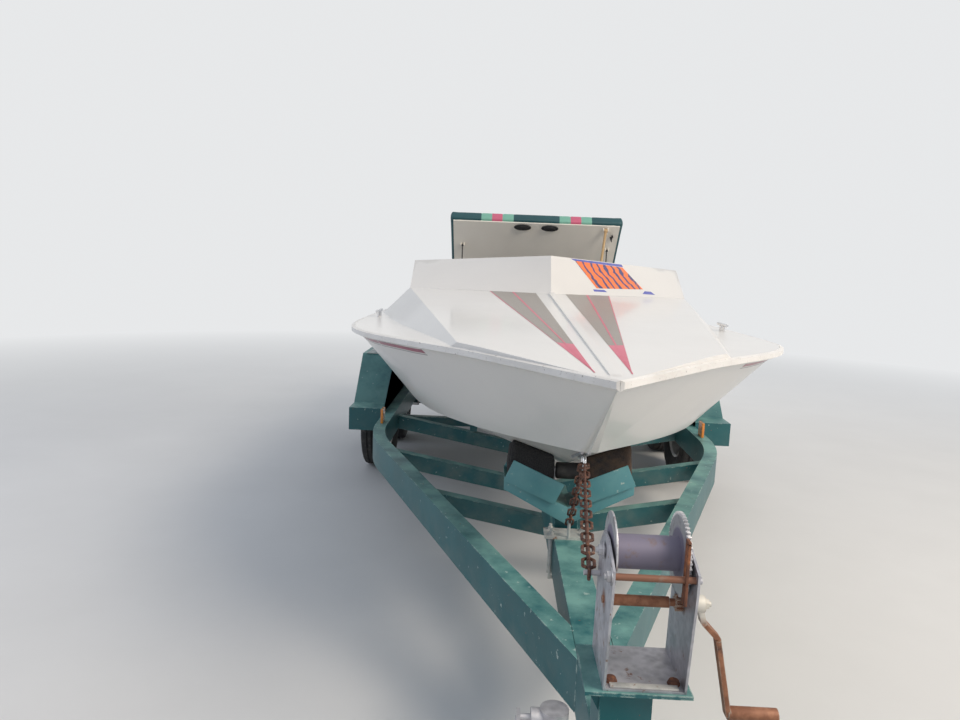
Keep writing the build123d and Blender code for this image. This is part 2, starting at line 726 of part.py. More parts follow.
# Bolster
bolster_at = 1037.0
bolster_half = 250.0
plate_z = 620.0
plate_slope = tan(radians(24))
plate = prism_y([(0, plate_z), (bolster_half, plate_z + bolster_half * plate_slope),
                 (bolster_half, plate_z + bolster_half * plate_slope - 8), (0, plate_z - 8),
                 (-bolster_half, plate_z + bolster_half * plate_slope - 8),
                 (-bolster_half, plate_z + bolster_half * plate_slope)],
                bolster_at - 80, bolster_at + 80)
post = box(-45, 45, bolster_at - 50, bolster_at + 50, frame_top, plate_z + 60)
below_plate = prism_y([(-bolster_half, 400), (bolster_half, 400),
                       (bolster_half, plate_z + bolster_half * plate_slope - 8), (0, plate_z - 8),
                       (-bolster_half, plate_z + bolster_half * plate_slope - 8)],
                      bolster_at - 90, bolster_at + 90)
save("bolster", plate + (post & below_plate))

# Carpeted pads between the bolster and the forefoot
pads = []
for side in (-1, 1):
    pad = prism_y([(side * 60, plate_z + 60 * plate_slope), (side * 240, plate_z + 240 * plate_slope),
                   (side * 225, plate_z + 240 * plate_slope + 160), (side * 60, plate_z + 230)],
                  bolster_at - 95, bolster_at + 75)
    pads.append(pad - outer - plate)
save("bolster_pads", *pads)

# Clamp that holds the bolster's foot to the beam, with two U-bolts
clamp_at = 925.0
clamp = box(-88, 88, clamp_at - 48, clamp_at + 45, frame_top, frame_top + 10)
for y in (clamp_at - 28, clamp_at + 25):
    for side in (-1, 1):
        clamp += rod_z(side * 62, y, frame_top - rail_depth - 14, frame_top + 34, 6)
    clamp += rod_x(-68, 68, y, frame_top - rail_depth - 8, 6)

# Coupler with its ball socket and latch
ball_radius = 25.4
coupler = box(-40, 40, -coupler_ahead, -tongue_ahead - fit_gap, frame_top - 95, frame_top - 25)
coupler = fillet(coupler.edges().filter_by(Axis.Z).group_by(Axis.Y)[0], 30)
coupler += box(-40, 40, -tongue_ahead - 40, -tongue_ahead - fit_gap, frame_top - 25, frame_top + 6)
coupler += box(-40, 40, -tongue_ahead - fit_gap, -tongue_ahead + 150, frame_top, frame_top + 6)
socket_at = -coupler_ahead + 42.0
coupler -= rod_z(0, socket_at, frame_top - 96, frame_top - 52, ball_radius + 0.5)
save("coupler", coupler)

# Winch post with its head plate and gussets
winch_post = box(-55, 55, winch_at - 55, winch_at + 55, frame_top, winch_plate_height - 8)
winch_post += box(-92, 128, winch_at - 92, winch_at + 92, winch_plate_height - 8, winch_plate_height)
gusset = prism_y([(55, winch_plate_height - 8), (120, winch_plate_height - 8),
                  (112, winch_plate_height - 62), (96, winch_plate_height - 70)],
                 winch_at + 40, winch_at + 46)
winch_post += gusset + prism_y([(-55, winch_plate_height - 8), (-88, winch_plate_height - 8),
                                (-55, winch_plate_height - 70)], winch_at - 46, winch_at - 40)
save("winch_post", winch_post)

# Winch frame: a base with two cheeks, the drum's axle, a spacer bar and the pawl
left = winch_centre - winch_width / 2
right = winch_centre + winch_width / 2
shaft_distance = (drum_teeth + pinion_teeth) / 2 * gear_module
shaft_z = drum_axle_height - pinion_below
shaft_y = winch_at - (shaft_distance ** 2 - pinion_below ** 2) ** 0.5
frame_base = box(left, right, winch_at - 85, winch_at + 85, winch_plate_height,
                 winch_plate_height + winch_plate)
spacer_y = winch_at - drum_flange_radius - 16.0
spacer_z = drum_axle_height - 14.0
cheek = prism_x([(winch_at - 85, winch_plate_height), (winch_at + 85, winch_plate_height),
                 (winch_at + 70, drum_axle_height - 10), (winch_at + 28, drum_axle_height + 34),
                 (winch_at - 28, drum_axle_height + 34), (spacer_y - 14, spacer_z + 16),
                 (spacer_y - 14, spacer_z - 30)], left, left + winch_plate)
winch_frame = frame_base + cheek + Pos(winch_width - winch_plate, 0, 0) * cheek
winch_frame += rod_x(left - 8, right + 6, winch_at, drum_axle_height, drum_axle_radius)
winch_frame += rod_x(left - 6, right + 6, spacer_y, spacer_z, 7)
winch_frame -= rod_x(left - 10, right + 10, shaft_y, shaft_z, pinion_shaft_radius + run_gap)


def gear(teeth, width, top_share, phase):
    """A spur gear along X with straight-flanked teeth."""
    pitch = teeth * gear_module / 2
    points = []
    for tooth in range(teeth):
        for radius, share in ((pitch - 1.2 * gear_module, -0.28), (pitch + 0.8 * gear_module, -top_share),
                              (pitch + 0.8 * gear_module, top_share), (pitch - 1.2 * gear_module, 0.28)):
            angle = radians(phase + 360.0 * (tooth + share) / teeth)
            points.append((radius * cos(angle), radius * sin(angle)))
    return prism_x(points, 0, width)


mesh_angle = degrees(atan2(shaft_z - drum_axle_height, shaft_y - winch_at))
side_play = 5.0
drum_left = left + winch_plate + side_play
drum_right = right - winch_plate - side_play
drum = rod_x(drum_left, drum_right, winch_at, drum_axle_height, drum_barrel_radius)
drum += rod_x(drum_left, drum_left + 4, winch_at, drum_axle_height, drum_flange_radius)
drum += Pos(drum_right - 8, winch_at, drum_axle_height) * gear(drum_teeth, 8, 0.15, mesh_angle)
drum -= rod_x(left, right, winch_at, drum_axle_height, drum_axle_radius + run_gap)
save("winch_drum", drum)

# Pinion, its shaft and the crank on the port side
crank = Pos(drum_right - 12, shaft_y, shaft_z) * gear(pinion_teeth, 16, 0.13,
                                                      mesh_angle + 180 + 180 / pinion_teeth)
crank += rod_x(left - 4, right + 42, shaft_y, shaft_z, pinion_shaft_radius)
crank += rod_x(right + 14, right + 42, shaft_y, shaft_z, 17)
crank_end_z = shaft_z - crank_reach
arm_x = right + 22.0
crank_arm = prism_y([(arm_x, shaft_z), (arm_x + 8, shaft_z), (arm_x + 8, shaft_z - 60),
                     (arm_x + 95, crank_end_z), (arm_x + 87, crank_end_z), (arm_x, shaft_z - 58)],
                    shaft_y - 13, shaft_y + 13)
crank += crank_arm
crank += rod_x(arm_x + 80, arm_x + 80 + grip_length, shaft_y, crank_end_z + 8, 15)
save("winch_crank", crank)

# Chain: links of hexagonal wire on eight-sided paths, each turned a quarter from the last
link_pitch = link_length - 2 * link_wire - 0.5


def chain_link(centre, heading, roll):
    """One link, its length along the heading and its flat turned by a roll."""
    bend = (link_width - link_wire) / 2
    straight = (link_length - link_wire) / 2 - bend
    cut = bend * tan(radians(22.5))
    corners = [(straight + bend, cut), (straight + cut, bend), (-straight - cut, bend),
               (-straight - bend, cut), (-straight - bend, -cut), (-straight - cut, -bend),
               (straight + cut, -bend), (straight + bend, -cut)]
    path = Polyline(*corners, close=True)
    section = Plane(origin=path @ 0, z_dir=path % 0) * RegularPolygon(link_wire / 2, 6)
    link = sweep(section, path=path, transition=Transition.RIGHT)
    place = Plane(origin=centre, x_dir=heading, z_dir=heading.cross(Vector(1, 0, 0)).normalized())
    return place.location * Rot(roll, 0, 0) * link


def chain_run(start, end, count, sag, first_roll):
    """Links whose joints lie on a sagging line, one pitch apart."""
    start, end = Vector(*start), Vector(*end)
    heading = (end - start).normalized()
    reach = heading * (count * link_pitch)
    joints = [start + reach * (i / count) - Vector(0, 0, 4 * sag * (i / count) * (1 - i / count))
              for i in range(count + 1)]
    links = []
    for i, (a, b) in enumerate(zip(joints, joints[1:])):
        links.append(chain_link((a + b) * 0.5, (b - a).normalized(), first_roll + 90 * (i % 2)))
    return links, joints[-1]


def eye_joint(target):
    """Where the first link of a run hangs in the eye's ring, on the side that faces its target."""
    y, z = target[1] - eye_at, target[2] - eye_z
    span = (y * y + z * z) ** 0.5
    out = eye_ring_radius - eye_wire_radius - 0.4
    return (0, eye_at + y / span * out, eye_z + z / span * out)


winch_tab = (left - 23.0, winch_at + 52.0, 885.0)
clamp_tab = (0, clamp_at - 30.0, frame_top + 48.0)
run_one, last_one = chain_run(eye_joint(winch_tab), winch_tab, 20, 10.0, 0)
run_two, last_two = chain_run(eye_joint(clamp_tab), clamp_tab, 11, 1.0, 0)
save("chain", *run_one, *run_two)
bolt_radius = 6.0
bolt_one = rod_x(left - 36, left, last_one.Y + bolt_radius + 0.1, last_one.Z + 0.5, bolt_radius)
bolt_two = rod_z(0, last_two.Y - bolt_radius - 1.8, frame_top + 10, last_two.Z + 24, bolt_radius)
save("winch_frame", winch_frame, bolt_one)
save("bolster_clamp", clamp - tongue, bolt_two)

# Jack: a tube on the tongue's starboard side, its screwed leg and its crank
jack_tube = rod_z(-jack_out, jack_at, jack_tube_bottom, jack_top, jack_tube_radius)
jack_tube -= rod_z(-jack_out, jack_at, jack_tube_bottom - 1, jack_top - 20, jack_leg_radius + run_gap)
bracket = box(-jack_out, -tongue_width / 2, jack_at - 60, jack_at + 60, frame_top - 110, frame_top - 20)
bracket -= rod_z(-jack_out, jack_at, 0, 1000, jack_tube_radius - 1)
jack_tube += rod_x(-jack_out - 48, -jack_out, jack_at, jack_top - 22, 20) - rod_z(
    -jack_out, jack_at, 0, jack_top - 20, jack_tube_radius)
jack_crank_x = -jack_out - 48.0
jack_tube -= rod_x(jack_crank_x - 1, jack_crank_x + 26, jack_at, jack_top - 22, 7 + run_gap)
save("jack_tube", jack_tube + bracket)
leg = rod_z(-jack_out, jack_at, 10, jack_top - 20 - jack_travel_left, jack_leg_radius)
leg += rod_z(-jack_out, jack_at, 0, 12, foot_radius)
save("jack_leg", leg)
jack_crank = rod_x(jack_crank_x - 30, jack_crank_x + 24, jack_at, jack_top - 22, 7)
jack_crank += prism_x([(jack_at - 12, jack_top - 34), (jack_at + 12, jack_top - 34),
                       (jack_at + 12, jack_top - 10), (jack_at - 12, jack_top - 10)],
                      jack_crank_x - 30, jack_crank_x - 22)
jack_crank += rod_z(jack_crank_x - 26, jack_at, jack_top - 150, jack_top - 22, 6)
jack_crank += rod_x(jack_crank_x - 130, jack_crank_x - 22, jack_at, jack_top - 150, 11)
save("jack_crank", jack_crank)

# Engine hatch, modelled closed and then turned open about its hinge
hinge_at = bay_to + 25.0
hinge_z = coaming_aft_height + 20.0
panel_low = hinge_z - 8
open_hatch = Pos(0, hinge_at, hinge_z) * Rot(-hatch_open_angle, 0, 0) * Pos(0, -hinge_at, -hinge_z)
panel = box(-hatch_half + hatch_pad_border, hatch_half - hatch_pad_border,
            hinge_at - hatch_length + hatch_pad_border, hinge_at - 30, panel_low,
            panel_low + hatch_panel_thick)
pad = box(-hatch_half, hatch_half, hinge_at - hatch_length, hinge_at - 26, panel_low + 6,
          panel_low + hatch_panel_thick + hatch_pad_thick)
pad = fillet(pad.edges(), 14) - panel
hinge_stations = (-480.0, 0.0, 480.0)
knuckle_radius = 9.0
fixed_knuckles = []
for x in hinge_stations:
    hinge_leaf = box(x - 40, x + 40, hinge_at + 12, hinge_at + 60, coaming_aft_height - 10, hinge_z - 4)
    for end in (x - 40, x + 22):
        hinge_leaf += box(end, end + 18, hinge_at - 7, hinge_at + 20, coaming_aft_height - 10, hinge_z - 2)
        hinge_leaf += rod_x(end, end + 18, hinge_at, hinge_z, knuckle_radius)
    hinge_leaf += rod_x(x - 40, x + 40, hinge_at, hinge_z, hinge_pin_radius)
    fixed_knuckles.append(hinge_leaf - raised)
    arm = box(x - 20, x + 20, hinge_at - 60, hinge_at, panel_low, panel_low + 6)
    arm += rod_x(x - 20, x + 20, hinge_at, hinge_z, knuckle_radius)
    panel += arm - rod_x(x - 50, x + 50, hinge_at, hinge_z, hinge_pin_radius + run_gap)
pad -= panel

# Pivots on the hatch for two stays and a wooden prop
stay_pivot_z = panel_low - stay_drop
pivots = ((stay_out, stay_along, 5.0), (-stay_out, stay_along, 5.0),
          (prop_out, prop_along, prop_radius))
for x, along, radius in pivots:
    y = hinge_at - along
    ear_at = radius + 5
    for end in (x - ear_at - 6, x + ear_at):
        panel += box(end, end + 6, y - 12, y + 12, stay_pivot_z - 12, panel_low + 2)
    panel += rod_x(x - ear_at - 6, x + ear_at + 6, y, stay_pivot_z, 4)
save("hatch_panel", open_hatch * panel)
save("hatch_cushion", open_hatch * pad)


def opened(along, drop):
    """A point of the closed hatch, given by its distance from the hinge, once the hatch is open."""
    turn = radians(-hatch_open_angle)
    y, z = -along, drop
    return hinge_at + y * cos(turn) - z * sin(turn), hinge_z + y * sin(turn) + z * cos(turn)


def stay(x, along, radius, length, lean):
    """A stay that hangs straight down from its pivot on the open hatch."""
    y, z = opened(along, stay_pivot_z - hinge_z)
    eye_end = rod_x(x - radius - 4, x + radius + 4, y, z, radius + 4)
    bar = rod_between((x, y, z), (x - lean, y, z - length), radius)
    return eye_end + bar - rod_x(x - 20, x + 20, y, z, 4 + run_gap)


stay_radius = 5.0
stay_y, stay_z = opened(stay_along, stay_pivot_z - hinge_z)
stay_length = stay_z - stay_foot_z
save("hatch_stay_port", stay(stay_out, stay_along, stay_radius, stay_length, 0))
save("hatch_stay_starboard", stay(-stay_out, stay_along, stay_radius, stay_length, 0))
save("prop_stick", stay(prop_out, prop_along, prop_radius, prop_length, prop_lean))
sockets = []
for side in (-1, 1):
    inner_x, outer_x = sorted((side * (stay_out + 12), side * bay_half))
    sockets.append(box(inner_x, outer_x, stay_y - 14, stay_y + 14, stay_foot_z - 10,
                       coaming_aft_height - 1))
save("hatch_hardware", *fixed_knuckles, *sockets)

# Lamps
lamps = []
for side in (-1, 1):
    x = side * (frame_half - rail_width / 2)
    lamps.append(box(x - 8, x + 8, 2620, 2700, frame_top, frame_top + 90))
for side in (-1, 1):
    x = side * (fender_inner + fender_outer) / 2
    lamps.append(box(x - 75, x + 75, fender_to, fender_to + 45, frame_top - 80, frame_top + 20))
save("trailer_lamps", *lamps)
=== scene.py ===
import json
from math import cos, pi, radians, sin

import bpy
from mathutils import Matrix, Vector


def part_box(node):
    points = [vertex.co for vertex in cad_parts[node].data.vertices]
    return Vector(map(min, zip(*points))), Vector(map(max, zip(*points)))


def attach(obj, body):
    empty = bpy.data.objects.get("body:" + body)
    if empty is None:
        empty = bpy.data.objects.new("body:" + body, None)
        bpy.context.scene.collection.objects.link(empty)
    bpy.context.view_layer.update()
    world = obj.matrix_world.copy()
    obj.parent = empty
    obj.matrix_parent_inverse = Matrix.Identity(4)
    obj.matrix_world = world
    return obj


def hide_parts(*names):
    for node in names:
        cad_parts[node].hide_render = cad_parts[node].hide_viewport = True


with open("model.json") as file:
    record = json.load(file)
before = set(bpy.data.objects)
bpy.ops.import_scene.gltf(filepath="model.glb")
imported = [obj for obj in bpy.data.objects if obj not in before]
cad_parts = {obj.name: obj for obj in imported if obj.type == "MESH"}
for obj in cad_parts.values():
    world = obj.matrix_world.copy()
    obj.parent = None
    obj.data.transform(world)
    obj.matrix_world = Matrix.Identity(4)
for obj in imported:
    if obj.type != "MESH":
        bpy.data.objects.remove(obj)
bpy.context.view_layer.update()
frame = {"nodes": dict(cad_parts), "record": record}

bow_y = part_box("hull")[0].y


# Camera: held at eye height a step ahead of the winch and a little to the starboard side of the centre
# line. It looks slightly down along the boat, and it was held a touch out of level.
eye_side, eye_ahead, eye_height = -0.303, 1.715, 1.55
heading, looking_down, out_of_level = radians(1.2), radians(7.98), radians(2.28)
photo_lens = 27.04
bpy.ops.object.camera_add(location=(eye_side, bow_y - eye_ahead, eye_height))
photo_camera = bpy.context.object
turn = Matrix.Rotation(heading, 3, "Z") @ Matrix.Rotation(radians(90) - looking_down, 3, "X")
photo_camera.rotation_euler = (turn @ Matrix.Rotation(out_of_level, 3, "Z")).to_euler()
photo_camera.data.lens = photo_lens
bpy.context.scene.camera = photo_camera
bpy.context.scene.view_settings.view_transform = "Standard"


# Finishes: every surface is built up in layers over its own coordinates, as it would be painted,
# worn and weathered. A layer is a factor from 0 to 1, and a colour or a roughness goes over it.
def add_node(tree, kind, links=(), **settings):
    """A node with its settings made and its inputs joined."""
    node = tree.nodes.new(kind)
    for name, value in settings.items():
        setattr(node, name, value)
    for slot, value in dict(links).items():
        if isinstance(value, bpy.types.NodeSocket):
            tree.links.new(value, node.inputs[slot])
        else:
            node.inputs[slot].default_value = value
    return node


class Finish:
    """One surface's finish and the layers laid over it."""

    def __init__(self, name, colour, rough, metal=0.0, coat=0.0, coat_rough=0.06):
        self.material = bpy.data.materials.new(name)
        self.material.use_nodes = True
        self.tree = self.material.node_tree
        self.shader = self.tree.nodes["Principled BSDF"]
        self.shader.inputs["Base Color"].default_value = (*colour, 1.0)
        self.shader.inputs["Roughness"].default_value = rough
        self.shader.inputs["Metallic"].default_value = metal
        self.shader.inputs["Coat Weight"].default_value = coat
        self.shader.inputs["Coat Roughness"].default_value = coat_rough
        self.place = self.add("ShaderNodeTexCoord").outputs["Object"]

    def add(self, kind, links=(), **settings):
        """A node in this finish."""
        return add_node(self.tree, kind, links, **settings)

    def stretched(self, scale):
        """The surface's coordinates, drawn out along an axis."""
        return self.add("ShaderNodeMapping", {"Vector": self.place, "Scale": scale}).outputs[0]

    def cloud(self, scale, low=0.35, high=0.65, detail=5.0, rough=0.6, drawn=None):
        """Soft patches whose edge lies between two levels of a noise."""
        place = self.stretched(drawn) if drawn else self.place
        noise = self.add("ShaderNodeTexNoise", {"Vector": place, "Scale": scale, "Detail": detail,
                                                "Roughness": rough})
        return self.between(noise.outputs[0], low, high)

    def cells(self, scale, low=0.0, high=0.5, drawn=None):
        """Distance from the middle of scattered cells."""
        place = self.stretched(drawn) if drawn else self.place
        cell = self.add("ShaderNodeTexVoronoi", {"Vector": place, "Scale": scale})
        return self.between(cell.outputs[0], low, high)

    def between(self, value, low, high):
        """A value spread from 0 at one level to 1 at another."""
        spread = self.add("ShaderNodeMapRange", {"Value": value, "From Min": low, "From Max": high})
        return spread.outputs[0]

    def sum(self, how, first, second):
        """Two factors joined by a sum, product or comparison."""
        return self.add("ShaderNodeMath", {0: first, 1: second}, operation=how).outputs[0]

    def times(self, first, second):
        """Where two factors meet."""
        return self.sum("MULTIPLY", first, second)

    def span(self, value, low, high, soft):
        """1 where a value lies between two places, and 0 outside them."""
        return self.times(self.between(value, low, low + soft), self.between(value, high, high - soft))

    def away(self, spot):
        """Distance from an axis that runs across the boat through a spot."""
        across = {0: self.stretched((0, 1, 1)), 1: spot}
        return self.add("ShaderNodeVectorMath", across, operation="DISTANCE").outputs["Value"]

    def facing(self, axis, low, high):
        """How far the surface faces an axis."""
        normal = self.add("ShaderNodeNewGeometry").outputs["Normal"]
        parts = self.add("ShaderNodeSeparateXYZ", {0: normal})
        return self.between(parts.outputs[axis], low, high)

    def along(self, axis, low, high):
        """Distance along an axis, from 0 at one place to 1 at another."""
        parts = self.add("ShaderNodeSeparateXYZ", {0: self.place})
        return self.between(parts.outputs[axis], low, high)

    def edges(self, radius, low=0.02, high=0.12):
        """The piece's worn edges: where its rounded normal leaves the true one."""
        rounded = self.add("ShaderNodeBevel", {"Radius": radius}, samples=4).outputs[0]
        true = self.add("ShaderNodeNewGeometry").outputs["Normal"]
        dot = self.add("ShaderNodeVectorMath", {0: rounded, 1: true}, operation="DOT_PRODUCT")
        return self.between(self.sum("SUBTRACT", 1.0, dot.outputs["Value"]), low, high)

    def over(self, factor, slot, value):
        """Lay a colour, roughness or metal over what is there, by a factor."""
        target = self.shader.inputs[slot]
        if slot == "Base Color":
            mix = self.add("ShaderNodeMix", data_type="RGBA")
            first, second, out = mix.inputs[6], mix.inputs[7], mix.outputs[2]
            value = (*value, 1.0)
        else:
            mix = self.add("ShaderNodeMix", data_type="FLOAT")
            first, second, out = mix.inputs[2], mix.inputs[3], mix.outputs[0]
        if target.links:
            self.tree.links.new(target.links[0].from_socket, first)
        else:
            first.default_value = target.default_value
        second.default_value = value
        self.tree.links.new(factor, mix.inputs[0])
        self.tree.links.new(out, target)
        return self

    def paint(self, factor, colour):
        """A colour over a factor."""
        return self.over(factor, "Base Color", colour)

    def rough(self, factor, value):
        """A roughness over a factor."""
        return self.over(factor, "Roughness", value)

    def patch(self, colour, *levels, **more):
        """Soft patches of a colour."""
        return self.paint(self.cloud(*levels, **more), colour)

    def dull(self, value, *levels, **more):
        """Soft patches of a roughness."""
        return self.rough(self.cloud(*levels, **more), value)

    def raise_by(self, height, distance, strength=1.0):
        """A relief whose height is a factor times a distance."""
        normal = self.shader.inputs["Normal"]
        bump = self.add("ShaderNodeBump", {"Height": height, "Distance": distance, "Strength": strength})
        if normal.links:
            self.tree.links.new(normal.links[0].from_socket, bump.inputs["Normal"])
        self.tree.links.new(bump.outputs[0], normal)
        return self


# Studio: a pale matt floor that runs on past the view and takes the boat's shadow, a big soft lamp
# ahead of the port bow, where the sun stood, a cool one to starboard and a weak one behind the stern.
def seen_directly(tree):
    """Whether a ray comes from the camera, a glossy surface or a clear one."""
    rays = add_node(tree, "ShaderNodeLightPath").outputs
    seen = rays["Is Camera Ray"]
    for kind in ("Is Glossy Ray", "Is Transmission Ray"):
        seen = add_node(tree, "ShaderNodeMath", {0: seen, 1: rays[kind]}, operation="MAXIMUM").outputs[0]
    return seen


floor_size, floor_drop = 120.0, 0.0005
bpy.ops.object.select_all(action="DESELECT")
bpy.ops.mesh.primitive_plane_add(size=floor_size, location=(0, 0, -floor_drop))
studio_floor = bpy.context.object
studio_floor.name = "studio_floor"
pale_floor = Finish("pale_floor", (0.66, 0.66, 0.65), 0.95)
pale_floor.patch((0.69, 0.69, 0.68), 1.4, 0.3, 0.7)
backdrop_colour = (0.80, 0.81, 0.82, 1.0)
fade_from, fade_to = 4.0, 11.0
far = pale_floor.add("ShaderNodeVectorMath", {0: pale_floor.place}, operation="LENGTH").outputs["Value"]
fade = pale_floor.times(seen_directly(pale_floor.tree), pale_floor.between(far, fade_from, fade_to))
far_floor = pale_floor.add("ShaderNodeEmission", {0: backdrop_colour})
faded = pale_floor.add("ShaderNodeMixShader", {0: fade, 1: pale_floor.shader.outputs[0],
                                               2: far_floor.outputs[0]})
pale_floor.tree.links.new(faded.outputs[0], pale_floor.tree.nodes["Material Output"].inputs[0])
studio_floor.data.materials.append(pale_floor.material)


def soft_lamp(name, place, aim, wide, high, watts, tint):
    """A large soft lamp that looks at a point."""
    bpy.ops.object.light_add(type="AREA", location=place)
    lamp = bpy.context.object
    lamp.name = name
    lamp.data.shape = "RECTANGLE"
    lamp.data.size, lamp.data.size_y = wide, high
    lamp.data.energy = watts
    lamp.data.color = tint
    lamp.rotation_euler = (Vector(aim) - Vector(place)).to_track_quat("-Z", "Y").to_euler()
    return lamp


warm, cool, neutral = (1.0, 0.89, 0.76), (0.72, 0.80, 1.0), (1.0, 0.98, 0.95)
soft_lamp("port_bow_lamp", (6.4, bow_y - 3.4, 7.6), (0, bow_y + 1.4, 0.8), wide=5.0, high=4.0, watts=900,
          tint=warm)
soft_lamp("starboard_lamp", (-6.0, bow_y + 0.8, 3.6), (0, bow_y + 1.6, 0.8), wide=4.5, high=3.0, watts=60,
          tint=cool)
stern_lamp = soft_lamp("stern_lamp", (1.5, -bow_y + 4.0, 4.6), (0, 1.0, 0.8), wide=4.5, high=2.6, watts=110,
                       tint=neutral)
stern_lamp.visible_glossy = False
backdrop = bpy.data.worlds.new("studio")
bpy.context.scene.world = backdrop
backdrop.use_nodes = True
sky = backdrop.node_tree
sky.nodes.clear()
sky_colour, sky_strength = (0.80, 0.86, 0.96, 1.0), 0.52
light_sky = add_node(sky, "ShaderNodeBackground", {0: sky_colour, 1: sky_strength})
seen_sky = add_node(sky, "ShaderNodeBackground", {0: backdrop_colour})
both = add_node(sky, "ShaderNodeMixShader", {0: seen_directly(sky), 1: light_sky.outputs[0],
                                             2: seen_sky.outputs[0]})
add_node(sky, "ShaderNodeOutputWorld", {0: both.outputs[0]})


# Hull: a V-bottomed shell of glass fibre with white gelcoat, moulded in one piece. It is glossy, a
# little chalky with age, speckled with grit and greyed in patches low on the hull by painted shade.
node_body = {node: body for body, nodes in frame["record"]["behaviour"]["bodies"].items() for node in nodes}


def only(piece):
    """Leave one piece selected and active."""
    bpy.ops.object.select_all(action="DESELECT")
    piece.select_set(True)
    bpy.context.view_layer.objects.active = piece


def modify(piece, kind, **settings):
    """A modifier, set and applied at once."""
    modifier = piece.modifiers.new(kind.title(), kind)
    for name, value in settings.items():
        setattr(modifier, name, value)
    only(piece)
    bpy.ops.object.modifier_apply(modifier=modifier.name)


def smooth(piece, angle=35.0):
    """Smooth shading over all but the sharp edges."""
    only(piece)
    bpy.ops.object.shade_smooth_by_angle(angle=radians(angle))


def place_on(piece, name, body, finish, replaced=()):
    """Name a finished piece, settle it in the boat's frame and give it its body and finish."""
    only(piece)
    bpy.ops.object.transform_apply(location=True, rotation=True, scale=True)
    piece.name = name
    piece.data.materials.clear()
    piece.data.materials.append(finish.material)
    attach(piece, body)
    if replaced:
        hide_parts(*replaced)
    return piece


def loose_copy(node, flatten=False):
    """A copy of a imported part's surface with its loose triangles merged, and its flat faces if asked."""
    bpy.ops.object.select_all(action="DESELECT")
    piece = bpy.data.objects.new(node + "_skin", frame["nodes"][node].data.copy())
    bpy.context.scene.collection.objects.link(piece)
    only(piece)
    bpy.ops.object.mode_set(mode="EDIT")
    bpy.ops.mesh.select_all(action="SELECT")
    bpy.ops.mesh.customdata_custom_splitnormals_clear()
    bpy.ops.mesh.remove_doubles(threshold=0.00002)
    if flatten:
        bpy.ops.mesh.dissolve_limited(angle_limit=radians(0.25))
    bpy.ops.object.mode_set(mode="OBJECT")
    return piece


def eased(node, finish, edge=0.0015, angle=38.0, segments=2):
    """A moulded or welded part's surface with its sharp edges eased by a small radius."""
    piece = loose_copy(node, flatten=True)
    modify(piece, "BEVEL", width=edge, segments=segments, limit_method="ANGLE",
           angle_limit=radians(angle), use_clamp_overlap=True)
    smooth(piece, angle)
    modify(piece, "WEIGHTED_NORMAL", keep_sharp=True)
    return place_on(piece, node + "_skin", node_body[node], finish, [node])


white_gelcoat = Finish("white_gelcoat", (0.76, 0.745, 0.715), 0.30, coat=0.42, coat_rough=0.10)
white_gelcoat.patch((0.72, 0.705, 0.68), 2.2, 0.30, 0.75)
white_gelcoat.patch((0.58, 0.56, 0.54), 620.0, 0.66, 0.74, detail=2.0)
white_gelcoat.dull(0.36, 7.0, 0.45, 0.8)
# Painted shade: the gelcoat is greyed in patches low on the sides and bottom, and made rougher there.
painted_low_shade = white_gelcoat.times(white_gelcoat.along("Z", 0.98, 0.56),
                                white_gelcoat.cloud(5.0, 0.25, 0.8, drawn=(1.0, 0.35, 1.6)))
white_gelcoat.paint(painted_low_shade, (0.60, 0.575, 0.54))
white_gelcoat.rough(painted_low_shade, 0.5)
white_gelcoat.raise_by(white_gelcoat.cloud(9.0, 0.2, 0.8), 0.0005, 0.07)
eased("hull", white_gelcoat, edge=0.004)
eased("deck", white_gelcoat, edge=0.004)
eased("cowl", white_gelcoat, edge=0.005, segments=3)


# Deck stripes: two long darts in sheer grey tape run up the foredeck from the bow, one each side of the
# ridge. Each has a pink line along its middle and its outer edge, and turns pink towards its point.
def struck(target, start, aim, reach=10.0):
    """Where a straight line from a point meets a piece, and which way its surface faces there."""
    hit, spot, facing, _ = bpy.data.objects[target].ray_cast(Vector(start), Vector(aim), distance=reach)
    return (spot, facing) if hit else None


def decal(name, corners, onto, finish, down=(0, 0, -1), cuts=24, lift=0.0005):
    """A thin film with four corners, laid onto a surface along a direction."""
    start_off, reach = 0.3, 1.2
    bpy.ops.object.select_all(action="DESELECT")
    bpy.ops.mesh.primitive_grid_add(x_subdivisions=cuts, y_subdivisions=4, size=2)
    film = bpy.context.object
    a, b, c, d = [Vector(corner) for corner in corners]
    for vertex in film.data.vertices:
        s, t = (vertex.co.x + 1) / 2, (vertex.co.y + 1) / 2
        vertex.co = a.lerp(b, s).lerp(d.lerp(c, s), t)
        met = struck(onto, vertex.co - Vector(down) * start_off, down, reach)
        if met:
            vertex.co = met[0] + met[1] * lift
    smooth(film)
    return place_on(film, name, node_body["deck"], finish)


above_deck = 1.5


def deck_point(side, aft):
    """A point above the foredeck from its distance to port and aft of the bow, in metres."""
    return Vector((side, bow_y + aft, above_deck))


